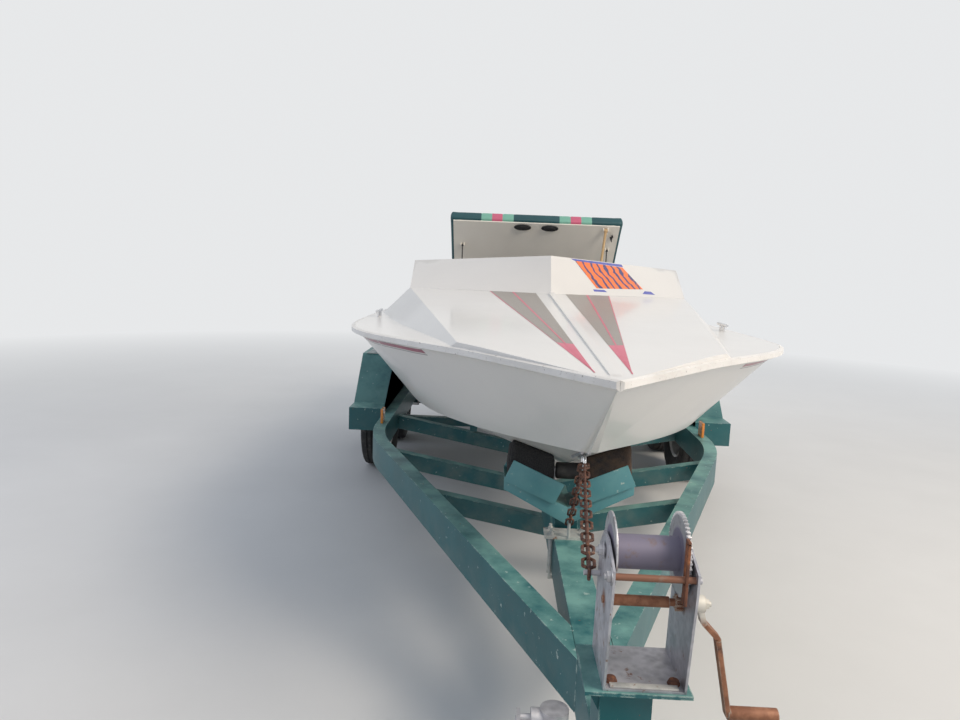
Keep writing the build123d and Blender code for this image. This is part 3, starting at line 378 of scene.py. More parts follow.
grey_tape = Finish("grey_tape", (0.235, 0.205, 0.175), 0.45, coat=0.15, coat_rough=0.15)
grey_tape.patch((0.30, 0.27, 0.235), 300.0, 0.45, 0.6, detail=3.0)
grey_tape.patch((0.27, 0.24, 0.21), 5.0, 0.4, 0.9)
pink_tape = Finish("pink_tape", (0.56, 0.075, 0.14), 0.45, coat=0.15, coat_rough=0.15)
pink_tape.patch((0.62, 0.12, 0.19), 8.0, 0.35, 0.75)
pink_share, line_half, edge_wide = 0.20, 0.006, 0.007
for side, side_name in ((-1, "starboard"), (1, "port")):
    tip = deck_point(side * 0.048, 0.105)
    inner, outer = deck_point(side * 0.085, 2.446), deck_point(side * 0.345, 2.560)
    pink_inner, pink_outer = tip.lerp(inner, pink_share), tip.lerp(outer, pink_share)
    middle, aside = (inner + outer) / 2, Vector((line_half, 0, 0))
    decal(f"dart_{side_name}", (pink_inner, inner, outer, pink_outer), "deck_skin", grey_tape)
    decal(f"dart_point_{side_name}", (tip, pink_inner, pink_outer, tip), "deck_skin", pink_tape)
    decal(f"dart_line_{side_name}", (tip - aside / 3, middle - aside, middle + aside, tip + aside / 3),
          "deck_skin", pink_tape, lift=0.0009)
    decal(f"dart_edge_{side_name}", (tip, outer, outer + Vector((side * edge_wide, 0, 0)), tip), "deck_skin",
          pink_tape, lift=0.0007)


# Cowl panel: the cowl's port face carries a slanted orange panel with dark streaks, under a blue band
# along the cowl's top edge and over two slim blue bars. It is cut from vinyl film.
orange_film = Finish("orange_film", (0.90, 0.19, 0.030), 0.28, coat=0.8, coat_rough=0.08)
streak = orange_film.add("ShaderNodeTexWave", {
    "Vector": orange_film.add("ShaderNodeMapping", {"Vector": orange_film.place,
                                                    "Rotation": (0.0, 0.35, -0.42)}).outputs[0],
    "Scale": 6.5, "Distortion": 5.0, "Detail": 2.0, "Detail Scale": 1.6}, bands_direction="X")
orange_film.paint(orange_film.between(streak.outputs[1], 0.74, 0.78), (0.055, 0.045, 0.16))
orange_film.patch((0.93, 0.30, 0.06), 60.0, 0.62, 0.7)
blue_film = Finish("blue_film", (0.075, 0.095, 0.42), 0.28, coat=0.8, coat_rough=0.08)
blue_film.patch((0.16, 0.17, 0.52), 9.0, 0.4, 0.7)


def cowl_point(side, height):
    """A point ahead of the cowl's port face, in metres."""
    return side, bow_y + 2.2, height


panel_corners = [cowl_point(0.279, 1.404), cowl_point(0.582, 1.404), cowl_point(0.466, 1.531),
                 cowl_point(0.150, 1.561)]
band_corners = [cowl_point(0.146, 1.561), cowl_point(0.470, 1.533), cowl_point(0.462, 1.549),
                cowl_point(0.122, 1.573)]
bar_corners = ([cowl_point(0.262, 1.386), cowl_point(0.345, 1.384), cowl_point(0.325, 1.396),
                cowl_point(0.256, 1.398)],
               [cowl_point(0.572, 1.378), cowl_point(0.655, 1.374), cowl_point(0.632, 1.392),
                cowl_point(0.590, 1.394)])
for name, corners, finish in (("orange_panel", panel_corners, orange_film),
                              ("blue_band", band_corners, blue_film),
                              ("blue_bar_inner", bar_corners[0], blue_film),
                              ("blue_bar_outer", bar_corners[1], blue_film)):
    decal(name, corners, "cowl_skin", finish, down=(0, 1, 0), cuts=16)


# Rub rail: a white vinyl extrusion riveted round the sheer, with a maroon and grey pinstripe taped to the
# hull under it from the shoulders to the stern.
rail_vinyl = Finish("rail_vinyl", (0.78, 0.765, 0.74), 0.42)
rail_vinyl.patch((0.66, 0.64, 0.61), 9.0, 0.42, 0.75, drawn=(1.0, 0.3, 1.0))
rail_vinyl.patch((0.42, 0.39, 0.37), 90.0, 0.62, 0.70)
eased("rub_rail", rail_vinyl, edge=0.003, segments=3)
maroon_tape = Finish("maroon_tape", (0.30, 0.035, 0.075), 0.35, coat=0.5)
maroon_tape.patch((0.38, 0.07, 0.12), 30.0, 0.5, 0.8)
stripe_grey = Finish("stripe_grey", (0.36, 0.34, 0.34), 0.35, coat=0.5)
stripe_grey.patch((0.44, 0.42, 0.41), 30.0, 0.5, 0.8)


def rail_foot(side, y):
    """The height of the rub rail's lower edge at a place along the boat."""
    lowest, step, steps, usual, stem = 1.10, 0.002, 120, 1.2, 0.02
    for height in [lowest + step * count for count in range(steps)]:
        met = struck("rub_rail_skin", (side * 2.0, y, height), (-side, 0, 0))
        if met and abs(met[0].x) > stem:
            return height
    return usual


def pinstripe(name, side, finish, drop, width, start=0.75, end=5.44, stations=60, lift=0.0005):
    """A tape that follows the rub rail at a drop below it along one side of the hull."""
    bpy.ops.object.select_all(action="DESELECT")
    bpy.ops.mesh.primitive_grid_add(x_subdivisions=stations, y_subdivisions=1, size=2)
    tape = bpy.context.object
    for vertex in tape.data.vertices:
        y = bow_y + start + (end - start) * (vertex.co.x + 1) / 2
        height = rail_foot(side, y) - drop - width * (vertex.co.y + 1) / 2
        met = struck("hull_skin", (side * 2.0, y, height), (-side, 0, 0))
        vertex.co = met[0] + met[1] * lift if met else Vector((side, y, height))
    smooth(tape)
    return place_on(tape, name, node_body["hull"], finish)


for side, side_name in ((-1, "starboard"), (1, "port")):
    pinstripe(f"stripe_maroon_{side_name}", side, maroon_tape, drop=0.006, width=0.013)
    pinstripe(f"stripe_grey_{side_name}", side, stripe_grey, drop=0.022, width=0.004)


# Hatch: a plywood lid with an off-white lined underside, upholstered on top and round its edge in dark teal
# vinyl over foam. Two mint bands, each with a pink one along its middle, are sewn into the vinyl.
def stuffed(node, finish, voxel, cap, seams=()):
    """A padded piece swollen from its solid by a cloth simulation, with sewn channels pressed in."""
    shrunk, last_frame, least_move = 0.6, 12, 1e-6
    piece = loose_copy(node)
    modify(piece, "REMESH", mode="VOXEL", voxel_size=voxel)
    modify(piece, "SMOOTH", factor=0.6, iterations=8)
    low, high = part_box(node)
    start = [vertex.co - vertex.normal * cap * shrunk for vertex in piece.data.vertices]
    for vertex, spot in zip(piece.data.vertices, start):
        vertex.co = spot
    cloth = piece.modifiers.new("Cloth", "CLOTH")
    cloth.settings.quality = 4
    cloth.settings.use_pressure = True
    cloth.settings.uniform_pressure_force = 4.0
    cloth.settings.effector_weights.gravity = 0.0
    cloth.collision_settings.use_collision = False
    for step in range(1, last_frame + 1):
        bpy.context.scene.frame_set(step)
    swollen = piece.evaluated_get(bpy.context.evaluated_depsgraph_get())
    spots = [vertex.co.copy() for vertex in swollen.to_mesh().vertices]
    swollen.to_mesh_clear()
    piece.modifiers.clear()
    bpy.context.scene.frame_set(1)
    for vertex, spot, first in zip(piece.data.vertices, spots, start):
        move = spot - first
        vertex.co = first + move * min(1.0, cap / max(move.length, least_move))
    piece.data.update()
    normals = [vertex.normal.copy() for vertex in piece.data.vertices]
    for vertex, normal in zip(piece.data.vertices, normals):
        spot = vertex.co.copy()
        press = sum(depth * max(0.0, 1 - abs(spot.x - place) / half) ** 2 for place, half, depth in seams)
        spot -= normal * press
        vertex.co = [min(max(spot[axis], low[axis]), high[axis]) for axis in range(3)]
    smooth(piece, 60)
    place_on(piece, node + "_skin", node_body[node], finish, [node])
    return piece


def vinyl(name, colour, light):
    """Marine vinyl with a leather grain, a soft sheen and uneven fading."""
    finish = Finish(name, colour, 0.50, coat=0.08, coat_rough=0.3)
    finish.patch(light, 6.0, 0.35, 0.75)
    finish.dull(0.52, 18.0, 0.4, 0.7)
    finish.raise_by(finish.cells(420.0, 0.0, 0.6), 0.0004, 0.4)
    return finish


lining = Finish("hatch_lining", (0.86, 0.82, 0.74), 0.62)
lining.patch((0.80, 0.76, 0.68), 3.0, 0.35, 0.8)
lining.raise_by(lining.cells(260.0), 0.0004, 0.4)
eased("hatch_panel", lining, edge=0.002)
teal_vinyl = vinyl("teal_vinyl", (0.008, 0.062, 0.075), (0.016, 0.085, 0.096))
mint_from, mint_to, pink_from, pink_to = 0.194, 0.471, 0.289, 0.380
seam_lines = [side * place for side in (-1, 1) for place in (mint_from, mint_to, pink_from, pink_to)]
across = teal_vinyl.add("ShaderNodeSeparateXYZ", {0: teal_vinyl.place}).outputs["X"]
side_out = teal_vinyl.add("ShaderNodeMath", {0: across}, operation="ABSOLUTE").outputs[0]
seam_wide, seam_half, seam_deep = 0.002, 0.011, 0.004
teal_vinyl.paint(teal_vinyl.span(side_out, mint_from, mint_to, seam_wide), (0.20, 0.46, 0.36))
teal_vinyl.paint(teal_vinyl.span(side_out, pink_from, pink_to, seam_wide), (0.62, 0.13, 0.22))
stuffed("hatch_cushion", teal_vinyl, voxel=0.014, cap=0.006,
        seams=[(place, seam_half, seam_deep) for place in seam_lines])


# Hatch fittings: black oval latches and a hook on the underside, zinc hinges, two black gas stays and
# the loose pine stick that props the lid.
def block(low, high):
    """A box between two corners."""
    bpy.ops.object.select_all(action="DESELECT")
    bpy.ops.mesh.primitive_cube_add(size=1)
    piece = bpy.context.object
    low, high = Vector(low), Vector(high)
    piece.data.transform(Matrix.Translation((low + high) / 2) @ Matrix.Diagonal((*(high - low), 1)))
    return piece


def round_bar(start, end, radius, sides=24, far_radius=None):
    """A round bar or cone from one point to another."""
    start, end = Vector(start), Vector(end)
    bpy.ops.object.select_all(action="DESELECT")
    bpy.ops.mesh.primitive_cone_add(vertices=sides, radius1=radius, depth=(end - start).length,
                                    radius2=radius if far_radius is None else far_radius)
    piece = bpy.context.object
    turn = (end - start).to_track_quat("Z", "Y").to_matrix().to_4x4()
    piece.data.transform(Matrix.Translation((start + end) / 2) @ turn)
    return piece


def joined(pieces):
    """Several solids as one piece."""
    bpy.ops.object.select_all(action="DESELECT")
    for piece in pieces:
        piece.select_set(True)
    bpy.context.view_layer.objects.active = pieces[0]
    bpy.ops.object.join()
    return pieces[0]


def add_on(name, pieces, host, finish, edge=0.0008):
    """Small solids made one piece, eased and fixed to the body that carries their host node."""
    piece = joined(pieces)
    if edge:
        modify(piece, "BEVEL", width=edge, segments=2, limit_method="ANGLE", angle_limit=radians(40))
    smooth(piece)
    return place_on(piece, name, node_body[host], finish)


def bolt(place, out, radius, stand=None):
    """A hexagon nut on its washer with the bolt's end showing, along a direction."""
    place, out = Vector(place), Vector(out)
    stand = stand or radius * 0.9
    return [round_bar(place, place + out * 0.002, radius * 1.5),
            round_bar(place, place + out * stand, radius, 6),
            round_bar(place, place + out * stand * 1.5, radius * 0.55, 12)]


black_plastic = Finish("black_plastic", (0.018, 0.018, 0.020), 0.38)
black_plastic.patch((0.045, 0.045, 0.048), 30.0, 0.5, 0.8)
black_plastic.dull(0.55, 60.0, 0.4, 0.7)
zinc = Finish("zinc", (0.40, 0.40, 0.43), 0.42, metal=0.85)
zinc.paint(zinc.cells(46.0, 0.15, 0.65), (0.54, 0.54, 0.57))
zinc.patch((0.30, 0.295, 0.31), 16.0, 0.42, 0.72)
zinc.dull(0.58, 34.0, 0.35, 0.7)
zinc.patch((0.27, 0.16, 0.10), 55.0, 0.66, 0.74)
pine = Finish("pine", (0.66, 0.47, 0.25), 0.6)
pine.patch((0.48, 0.30, 0.14), 16.0, 0.42, 0.56, drawn=(9.0, 9.0, 0.5))
pine.raise_by(pine.cloud(16.0, 0.4, 0.6, drawn=(9.0, 9.0, 0.5)), 0.0006, 0.4)
lid_open, lid_rise = radians(47.0), 0.017
hatch_turn = Matrix.Rotation(-lid_open, 3, "X")
lid_low, lid_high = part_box("hatch_panel")
lid_edge = Vector((0.0, lid_low.y, lid_high.z - lid_rise))
lid_down = hatch_turn @ Vector((0, 1, 0))
lid_out = hatch_turn @ Vector((0, 0, -1))


def on_lid(side, down):
    """A point of the lid's underside, from its distance to port and down from its free edge."""
    return lid_edge + Vector((side, 0, 0)) + lid_down * down


latches = []
for side in (-0.116, 0.116):
    middle = on_lid(side, 0.045)
    for start, end, radius, sides, longer in ((-0.004, 0.006, 0.030, 32, 2.4), (0.0, 0.012, 0.018, 24, 2.6)):
        oval = round_bar(middle + lid_out * start, middle + lid_out * end, radius, sides)
        for vertex in oval.data.vertices:
            vertex.co.x = side + (vertex.co.x - side) * longer
        latches.append(oval)
hook = on_lid(0.655, 0.10)
hook_end = hook + lid_out * 0.020
latches += [round_bar(hook, hook + lid_out * 0.022, 0.008), round_bar(hook + lid_down * 0.05, hook, 0.006),
            round_bar(hook_end - Vector((0.018, 0, 0)), hook_end + lid_down * 0.05, 0.005)]
add_on("hatch_latches", latches, "hatch_panel", black_plastic)
eased("hatch_stay_port", black_plastic, edge=0.001)
eased("hatch_stay_starboard", black_plastic, edge=0.001)
eased("prop_stick", pine, edge=0.003)
eased("hatch_hardware", zinc)


# Seats: two bucket seats and a rear bench of foam on moulded shells, in off-white vinyl with sewn
# channels, and a carpeted floor between quilted side panels.
pale_vinyl = vinyl("pale_vinyl", (0.56, 0.54, 0.50), (0.62, 0.60, 0.56))
seat_low, seat_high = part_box("seat_port")
seat_middle, seat_half = (seat_low.x + seat_high.x) / 2, (seat_high.x - seat_low.x) / 2
seam = (0.016, 0.008)
for node, middle in (("seat_port", seat_middle), ("seat_starboard", -seat_middle)):
    stuffed(node, pale_vinyl, voxel=0.012, cap=0.010,
            seams=[(middle + seat_half * share, *seam) for share in (-0.66, -0.22, 0.22, 0.66)])
bench_low, bench_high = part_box("rear_bench")
flutes = 12
flute_wide = (bench_high.x - bench_low.x) / flutes
stuffed("rear_bench", pale_vinyl, voxel=0.014, cap=0.010,
        seams=[(bench_low.x + flute_wide * count, *seam) for count in range(1, flutes)])
panel_vinyl = vinyl("panel_vinyl", (0.016, 0.095, 0.105), (0.035, 0.14, 0.15))
quilt = panel_vinyl.add("ShaderNodeTexWave", {"Vector": panel_vinyl.place, "Scale": 4.2}, bands_direction="Y",
                        wave_profile="SIN")
panel_vinyl.raise_by(panel_vinyl.between(quilt.outputs[1], 0.0, 0.35), 0.006, 0.8)
eased("cockpit_liner", panel_vinyl, edge=0.004)
grey_carpet = Finish("grey_carpet", (0.085, 0.088, 0.092), 0.95)
grey_carpet.patch((0.16, 0.165, 0.17), 340.0, 0.42, 0.6, detail=3.0)
grey_carpet.raise_by(grey_carpet.cells(520.0), 0.0025, 0.8)
eased("cockpit_floor", grey_carpet, edge=0.003)


# Dash: a black moulded panel with six round gauges in bright rims, and a three-spoked steering wheel
# on a short column.
eased("dash", black_plastic, edge=0.004)
eased("steering_wheel", black_plastic, edge=0.003, angle=50)
bright = Finish("bright_metal", (0.74, 0.74, 0.75), 0.14, metal=1.0)
bright.dull(0.28, 22.0, 0.4, 0.75)
bright.patch((0.55, 0.54, 0.53), 40.0, 0.62, 0.75)
dash_low, dash_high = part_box("dash")
rims, faces = [], []
gauge_height = dash_low.z + 0.13
for side in (-0.62, -0.18, -0.06, 0.06, 0.18, 0.62):
    met = struck("dash_skin", (side, dash_high.y + 0.3, gauge_height), (0, -1, 0))
    if met:
        spot, facing = met
        rims.append(round_bar(spot - facing * 0.002, spot + facing * 0.006, 0.040, 36))
        faces.append(round_bar(spot, spot + facing * 0.0075, 0.034, 36))
add_on("gauge_rims", rims, "dash", bright)
gauge_face = Finish("gauge_face", (0.02, 0.02, 0.022), 0.12, coat=1.0)
gauge_face.patch((0.03, 0.03, 0.033), 50.0, 0.5, 0.8)
add_on("gauge_faces", faces, "dash", gauge_face, edge=0.0005)


# Engine: a V8 in dark blue engine paint on bonded beds, with bright valve covers, cast log manifolds gone
# rusty, a flame arrestor over the carburettor, and a belt round its pulleys.
block_paint = Finish("block_paint", (0.030, 0.055, 0.14), 0.4, coat=0.3)
block_paint.patch((0.045, 0.07, 0.13), 12.0, 0.45, 0.7)
block_paint.patch((0.13, 0.06, 0.035), 26.0, 0.64, 0.72)
block_paint.dull(0.62, 18.0, 0.4, 0.7)
rust = Finish("rust", (0.185, 0.072, 0.038), 0.82)
rust.patch((0.095, 0.042, 0.030), 22.0, 0.40, 0.62)
rust.patch((0.30, 0.115, 0.048), 60.0, 0.52, 0.68)
rust.patch((0.26, 0.22, 0.20), 14.0, 0.62, 0.70)
rust.raise_by(rust.cloud(170.0, 0.3, 0.7), 0.0008, 0.6)
cast_metal = Finish("cast_aluminium", (0.50, 0.50, 0.51), 0.45, metal=0.8)
cast_metal.patch((0.36, 0.355, 0.35), 20.0, 0.42, 0.75)
cast_metal.dull(0.6, 70.0, 0.35, 0.7)
cast_metal.raise_by(cast_metal.cloud(240.0, 0.3, 0.7), 0.0004, 0.4)
bed_resin = Finish("bed_resin", (0.42, 0.40, 0.37), 0.5)
bed_resin.patch((0.30, 0.28, 0.25), 7.0, 0.4, 0.7)
bed_resin.patch((0.13, 0.115, 0.10), 19.0, 0.60, 0.72)
eased("engine_block", block_paint, edge=0.004)
eased("engine_beds", bed_resin, edge=0.003)
eased("valve_covers", bright, edge=0.004, segments=3)
for node, finish, edge in (("exhausts", rust, 0.003), ("intake_and_arrestor", cast_metal, 0.003),
                           ("engine_pulleys", zinc, 0.002), ("jet_pump", cast_metal, 0.003),
                           ("steering_nozzle", cast_metal, 0.002), ("reverse_bucket", cast_metal, 0.002)):
    eased(node, finish, edge=edge)
cover_low, cover_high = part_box("valve_covers")
engine_bolts = []
bolt_out, end_gap, above_covers = 0.235, 0.05, 1.4
for side in (-bolt_out, bolt_out):
    for share in (0, 1 / 3, 2 / 3, 1):
        y = cover_low.y + end_gap + share * (cover_high.y - cover_low.y - 2 * end_gap)
        met = struck("valve_covers_skin", (side, y, above_covers), (0, 0, -1))
        if met:
            engine_bolts += bolt(*met, 0.007)
add_on("valve_cover_bolts", engine_bolts, "valve_covers", zinc, edge=0)
arrestor_low, arrestor_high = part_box("intake_and_arrestor")
arrestor_middle = Vector((0, (arrestor_low.y + arrestor_high.y) / 2, arrestor_high.z))
add_on("arrestor_nut", bolt(arrestor_middle, (0, 0, 1), 0.009), "intake_and_arrestor", zinc, edge=0)


# Deck fittings: chrome cleats bolted to the side decks, and a galvanised ring on its U-bolt through the
# stem, where the chain hooks on.
eased("deck_fittings", bright, angle=50)
stem_bars = []
bar_radius, ahead = 0.005, Vector((0, -0.014, 0))
for side in (-0.012, 0.012):
    ends = [struck("hull_skin", (side, bow_y - 0.5, height), (0, 1, 0))[0] for height in (0.867, 0.950)]
    stem_bars.append(round_bar(ends[0] + ahead, ends[1] + ahead, bar_radius, 16))
    stem_bars += [round_bar(end - ahead * 0.3, end + ahead * 1.3, bar_radius, 16) for end in ends]
add_on("bow_eye_bars", stem_bars, "hull", zinc, edge=0)


# Trailer frame: welded rectangular steel tube in dark teal paint, sun-bleached to a chalky mint on its top
# faces, chipped at the edges, with rust in the chips and dust low down.
teal_paint = Finish("teal_paint", (0.007, 0.092, 0.104), 0.46, coat=0.12, coat_rough=0.2)
teal_paint.patch((0.014, 0.125, 0.14), 5.0, 0.35, 0.8)
bleached = teal_paint.times(teal_paint.facing("Z", 0.55, 0.95), teal_paint.cloud(7.0, 0.30, 0.62))
teal_paint.paint(bleached, (0.16, 0.34, 0.31))
teal_paint.rough(bleached, 0.6)
chips = teal_paint.times(teal_paint.edges(0.006, 0.01, 0.08), teal_paint.cloud(28.0, 0.50, 0.60))
teal_paint.paint(chips, (0.38, 0.50, 0.46))
teal_paint.patch((0.34, 0.44, 0.41), 38.0, 0.665, 0.69, detail=7.0)
teal_paint.patch((0.20, 0.085, 0.045), 52.0, 0.70, 0.72, detail=7.0)
dust = teal_paint.times(teal_paint.along("Z", 0.52, 0.30), teal_paint.cloud(9.0, 0.4, 0.8))
teal_paint.paint(dust, (0.12, 0.17, 0.16))
teal_paint.raise_by(teal_paint.cloud(130.0, 0.3, 0.7), 0.0003, 0.3)
for node in ("rail_port", "rail_starboard", "tongue_beam"):
    eased(node, teal_paint, edge=0.005)
for node in ("crossmembers", "axles", "bolster", "winch_post"):
    eased(node, teal_paint, edge=0.003)
tongue_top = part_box("tongue_beam")[1].z
rail_low, rail_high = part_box("rail_port")
axle_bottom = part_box("axles")[0].z
axle_rows = [sum(corner.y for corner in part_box(f"tyre_{row}_port")) / 2 for row in ("front", "rear")]
rail_middle, thread_radius = rail_high.x - 0.035, 0.006
frame_bolts = []
for side in (-1, 1):
    for y in [row + ahead for row in axle_rows for ahead in (-0.045, 0.045)]:
        for out in (-0.045, 0.045):
            foot = Vector((side * (rail_middle + out), y, axle_bottom - 0.008))
            frame_bolts.append(round_bar(foot, (foot.x, y, rail_low.z + 0.02), thread_radius, 16))
        saddle = [Vector((side * (rail_middle + out), y, axle_bottom - 0.006)) for out in (-0.052, 0.052)]
        frame_bolts.append(round_bar(*saddle, thread_radius, 16))
add_on("axle_bolts", frame_bolts, "axles", zinc, edge=0)


# Fenders: folded steel sheet with a rolled lip, welded to brackets, with two patches of worn whitish grip
# tape on the flat top where people step up.
eased("fender_port", teal_paint, edge=0.002)
eased("fender_starboard", teal_paint, edge=0.002)
grip_tape = Finish("grip_tape", (0.50, 0.53, 0.50), 0.9)
grip_tape.patch((0.32, 0.38, 0.37), 30.0, 0.45, 0.62)
grip_tape.raise_by(grip_tape.cells(900.0), 0.0008, 0.8)
fender_low, fender_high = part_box("fender_port")
margin, step_half, tape_thick = 0.03, 0.12, 0.002
steps = []
for side in (-1, 1):
    near, far = sorted((side * (fender_low.x + margin), side * (fender_high.x - margin)))
    for place in (axle_rows[0] - 0.06, axle_rows[1] - 0.18):
        steps.append(block((near, place - step_half, fender_high.z),
                           (far, place + step_half, fender_high.z + tape_thick)))
add_on("fender_steps", steps, "fender_port", grip_tape, edge=0.0006)


# Wheels: steel rims in white paint with five lug nuts and a pressed cap, and trailer tyres with four
# grooves round the tread, cut shoulder blocks and a scuffed sidewall.
def lathe(profile, segments, notch):
    """A ring turned about the X axis from a closed profile of (out, radius), shaped by a notch rule."""
    bpy.ops.object.select_all(action="DESELECT")
    bpy.ops.mesh.primitive_grid_add(x_subdivisions=len(profile), y_subdivisions=segments, size=2)
    ring = bpy.context.object
    for vertex in ring.data.vertices:
        row = round((vertex.co.x + 1) / 2 * len(profile)) % len(profile)
        turn = round((vertex.co.y + 1) / 2 * segments) % segments
        out, radius = profile[row]
        radius -= notch(row, turn)
        angle = 2 * pi * turn / segments
        vertex.co = (out, radius * cos(angle), radius * sin(angle))
    only(ring)
    bpy.ops.object.mode_set(mode="EDIT")
    bpy.ops.mesh.select_all(action="SELECT")
    bpy.ops.mesh.remove_doubles(threshold=0.00001)
    bpy.ops.mesh.normals_make_consistent(inside=False)
    bpy.ops.object.mode_set(mode="OBJECT")
    return ring


tyre_low, tyre_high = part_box("tyre_front_port")
tread, bead = (tyre_high.z - tyre_low.z) / 2, 0.1905
groove_deep, groove_half, groove_foot = 0.008, 0.006, 0.0042
crown = []
for middle in (-0.048, -0.016, 0.016, 0.048):
    crown += [(middle - groove_half, tread), (middle - groove_foot, tread - groove_deep),
              (middle + groove_foot, tread - groove_deep), (middle + groove_half, tread)]
shoulder = [(0.074, tread - 0.001), (0.086, tread - 0.006), (0.094, tread - 0.020), (0.0985, tread - 0.040),
            (0.100, tread - 0.070), (0.098, tread - 0.095), (0.090, bead + 0.035), (0.078, bead + 0.012),
            (0.070, bead)]
section = [(-out, radius) for out, radius in reversed(shoulder)] + crown + shoulder
edge_row = len(shoulder)
cut_rows = (*range(edge_row - 3, edge_row), *range(len(section) - edge_row, len(section) - edge_row + 3))


def shoulder_blocks(row, turn):
    """Slots across the tread's shoulders, at every fifth segment."""
    return 0.007 if row in cut_rows and turn % 5 == 0 else 0.0


tyre_rubber = Finish("tyre_rubber", (0.020, 0.020, 0.021), 0.80)
tyre_rubber.patch((0.052, 0.049, 0.045), 9.0, 0.42, 0.75)
tyre_rubber.patch((0.085, 0.080, 0.072), 44.0, 0.56, 0.70)
tyre_rubber.raise_by(tyre_rubber.cloud(160.0, 0.3, 0.7), 0.0005, 0.5)
rim_paint = Finish("rim_paint", (0.60, 0.59, 0.57), 0.35, coat=0.4)
rim_paint.patch((0.48, 0.46, 0.43), 16.0, 0.45, 0.75)
rim_paint.patch((0.24, 0.12, 0.07), 46.0, 0.64, 0.72)
nut_circle, cap_out = 0.068, 0.045
for row in ("front", "rear"):
    for side, side_name in ((-1, "starboard"), (1, "port")):
        wheel = f"{row}_{side_name}"
        tyre_node = f"tyre_{wheel}"
        low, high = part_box(tyre_node)
        centre = (low + high) / 2
        tyre = lathe(section, 120, shoulder_blocks)
        tyre.data.transform(Matrix.Translation(centre))
        smooth(tyre, 32)
        place_on(tyre, tyre_node + "_skin", node_body[tyre_node], tyre_rubber, [tyre_node])
        eased(f"rim_{wheel}", rim_paint, edge=0.002)
        nuts = []
        for angle in [2 * pi * place / 5 + 0.3 for place in range(5)]:
            spot = centre + Vector((side * 0.6, nut_circle * cos(angle), nut_circle * sin(angle)))
            met = struck(f"rim_{wheel}_skin", spot, (-side, 0, 0))
            if met:
                nuts += bolt(met[0], (side, 0, 0), 0.011, 0.016)
        cap_at = centre + Vector((side * cap_out, 0, 0))
        nuts.append(round_bar(cap_at, cap_at + Vector((side * 0.032, 0, 0)), 0.030, 32, 0.024))
        add_on(f"lug_nuts_{wheel}", nuts, f"rim_{wheel}", bright)


# Bunks and bolster pads: timber boards and blocks wrapped in black marine carpet, stapled underneath. The
# port pad is fuzzy, and warm sunlight is painted onto the carpet's port side as brown patches.
black_carpet = Finish("black_carpet", (0.012, 0.012, 0.014), 0.97)
black_carpet.patch((0.040, 0.038, 0.038), 260.0, 0.45, 0.62, detail=4.0)
# Painted sunlight: a warm brown laid in patches over the port side of the carpet.
painted_port_sunlight = black_carpet.times(black_carpet.along("X", 0.0, 0.10), black_carpet.cloud(14.0, 0.35, 0.6))
black_carpet.paint(painted_port_sunlight, (0.090, 0.055, 0.036))
black_carpet.raise_by(black_carpet.cells(420.0), 0.003, 0.9)
eased("bunks", black_carpet, edge=0.006)
stuffed("bolster_pads", black_carpet, voxel=0.005, cap=0.004)


# Bolster cradle: turquoise channels along the arms of the V hold the pads, and a dark rubber roller
# between them takes the keel on a pin.
cradle_paint = Finish("cradle_paint", (0.085, 0.265, 0.295), 0.45, coat=0.15)
cradle_paint.patch((0.13, 0.33, 0.35), 9.0, 0.35, 0.7)
cradle_paint.patch((0.40, 0.50, 0.47), 40.0, 0.64, 0.70, detail=7.0)
bolster_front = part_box("bolster")[0].y
arm_rise = radians(24)
slope = Vector((cos(arm_rise), 0, sin(arm_rise)))
foot = Vector((0, 0, 0.620))
lip_ends, lip_ahead, lip_sunk = (0.055, 0.270), 0.012, 0.010
channels = []
for side in (-1, 1):
    along, above = Vector((side * slope.x, 0, slope.z)), Vector((-side * slope.z, 0, slope.x))
    for front, back, rise in ((-0.008, -0.003, 0.078), (0.157, 0.162, 0.040)):
        lip = block((lip_ends[0], bolster_front - lip_ahead + front, 0.0),
                    (lip_ends[1], bolster_front - lip_ahead + back, rise + lip_sunk))
        for vertex in lip.data.vertices:
            x, y, z = vertex.co
            vertex.co = foot + along * x + above * (z - lip_sunk) + Vector((0, y, 0))
        channels.append(lip)
    fascia = block((0.0, bolster_front - 0.004, -0.070), (0.272, bolster_front, 0.0))
    for vertex in fascia.data.vertices:
        x, y, z = vertex.co
        vertex.co = foot + along * x + Vector((0, y, z if x < 0.1 else z * 0.72))
    channels.append(fascia)
add_on("bolster_channels", channels, "bolster", cradle_paint, edge=0.0012)
roller_rubber = Finish("roller_rubber", (0.028, 0.026, 0.026), 0.7)
roller_rubber.patch((0.065, 0.058, 0.052), 24.0, 0.45, 0.7)
roller_y, roller_radius, roller_gap = bolster_front + 0.045, 0.032, 0.00278
keel_spot = struck("hull_skin", (0, roller_y, 0.3), (0, 0, 1))[0]
roller_z = keel_spot.z - roller_radius - roller_gap
roller = round_bar((-0.050, roller_y, roller_z), (0.050, roller_y, roller_z), roller_radius, 40)
add_on("keel_roller", [roller], "bolster", roller_rubber, edge=0.007)
bracket = [round_bar((-0.062, roller_y, roller_z), (0.062, roller_y, roller_z), 0.007)]
for near, far in ((-0.057, -0.052), (0.052, 0.057)):
    bracket.append(block((near, roller_y - 0.015, foot.z), (far, roller_y + 0.015, roller_z + 0.014)))
add_on("roller_bracket", bracket, "bolster", zinc)


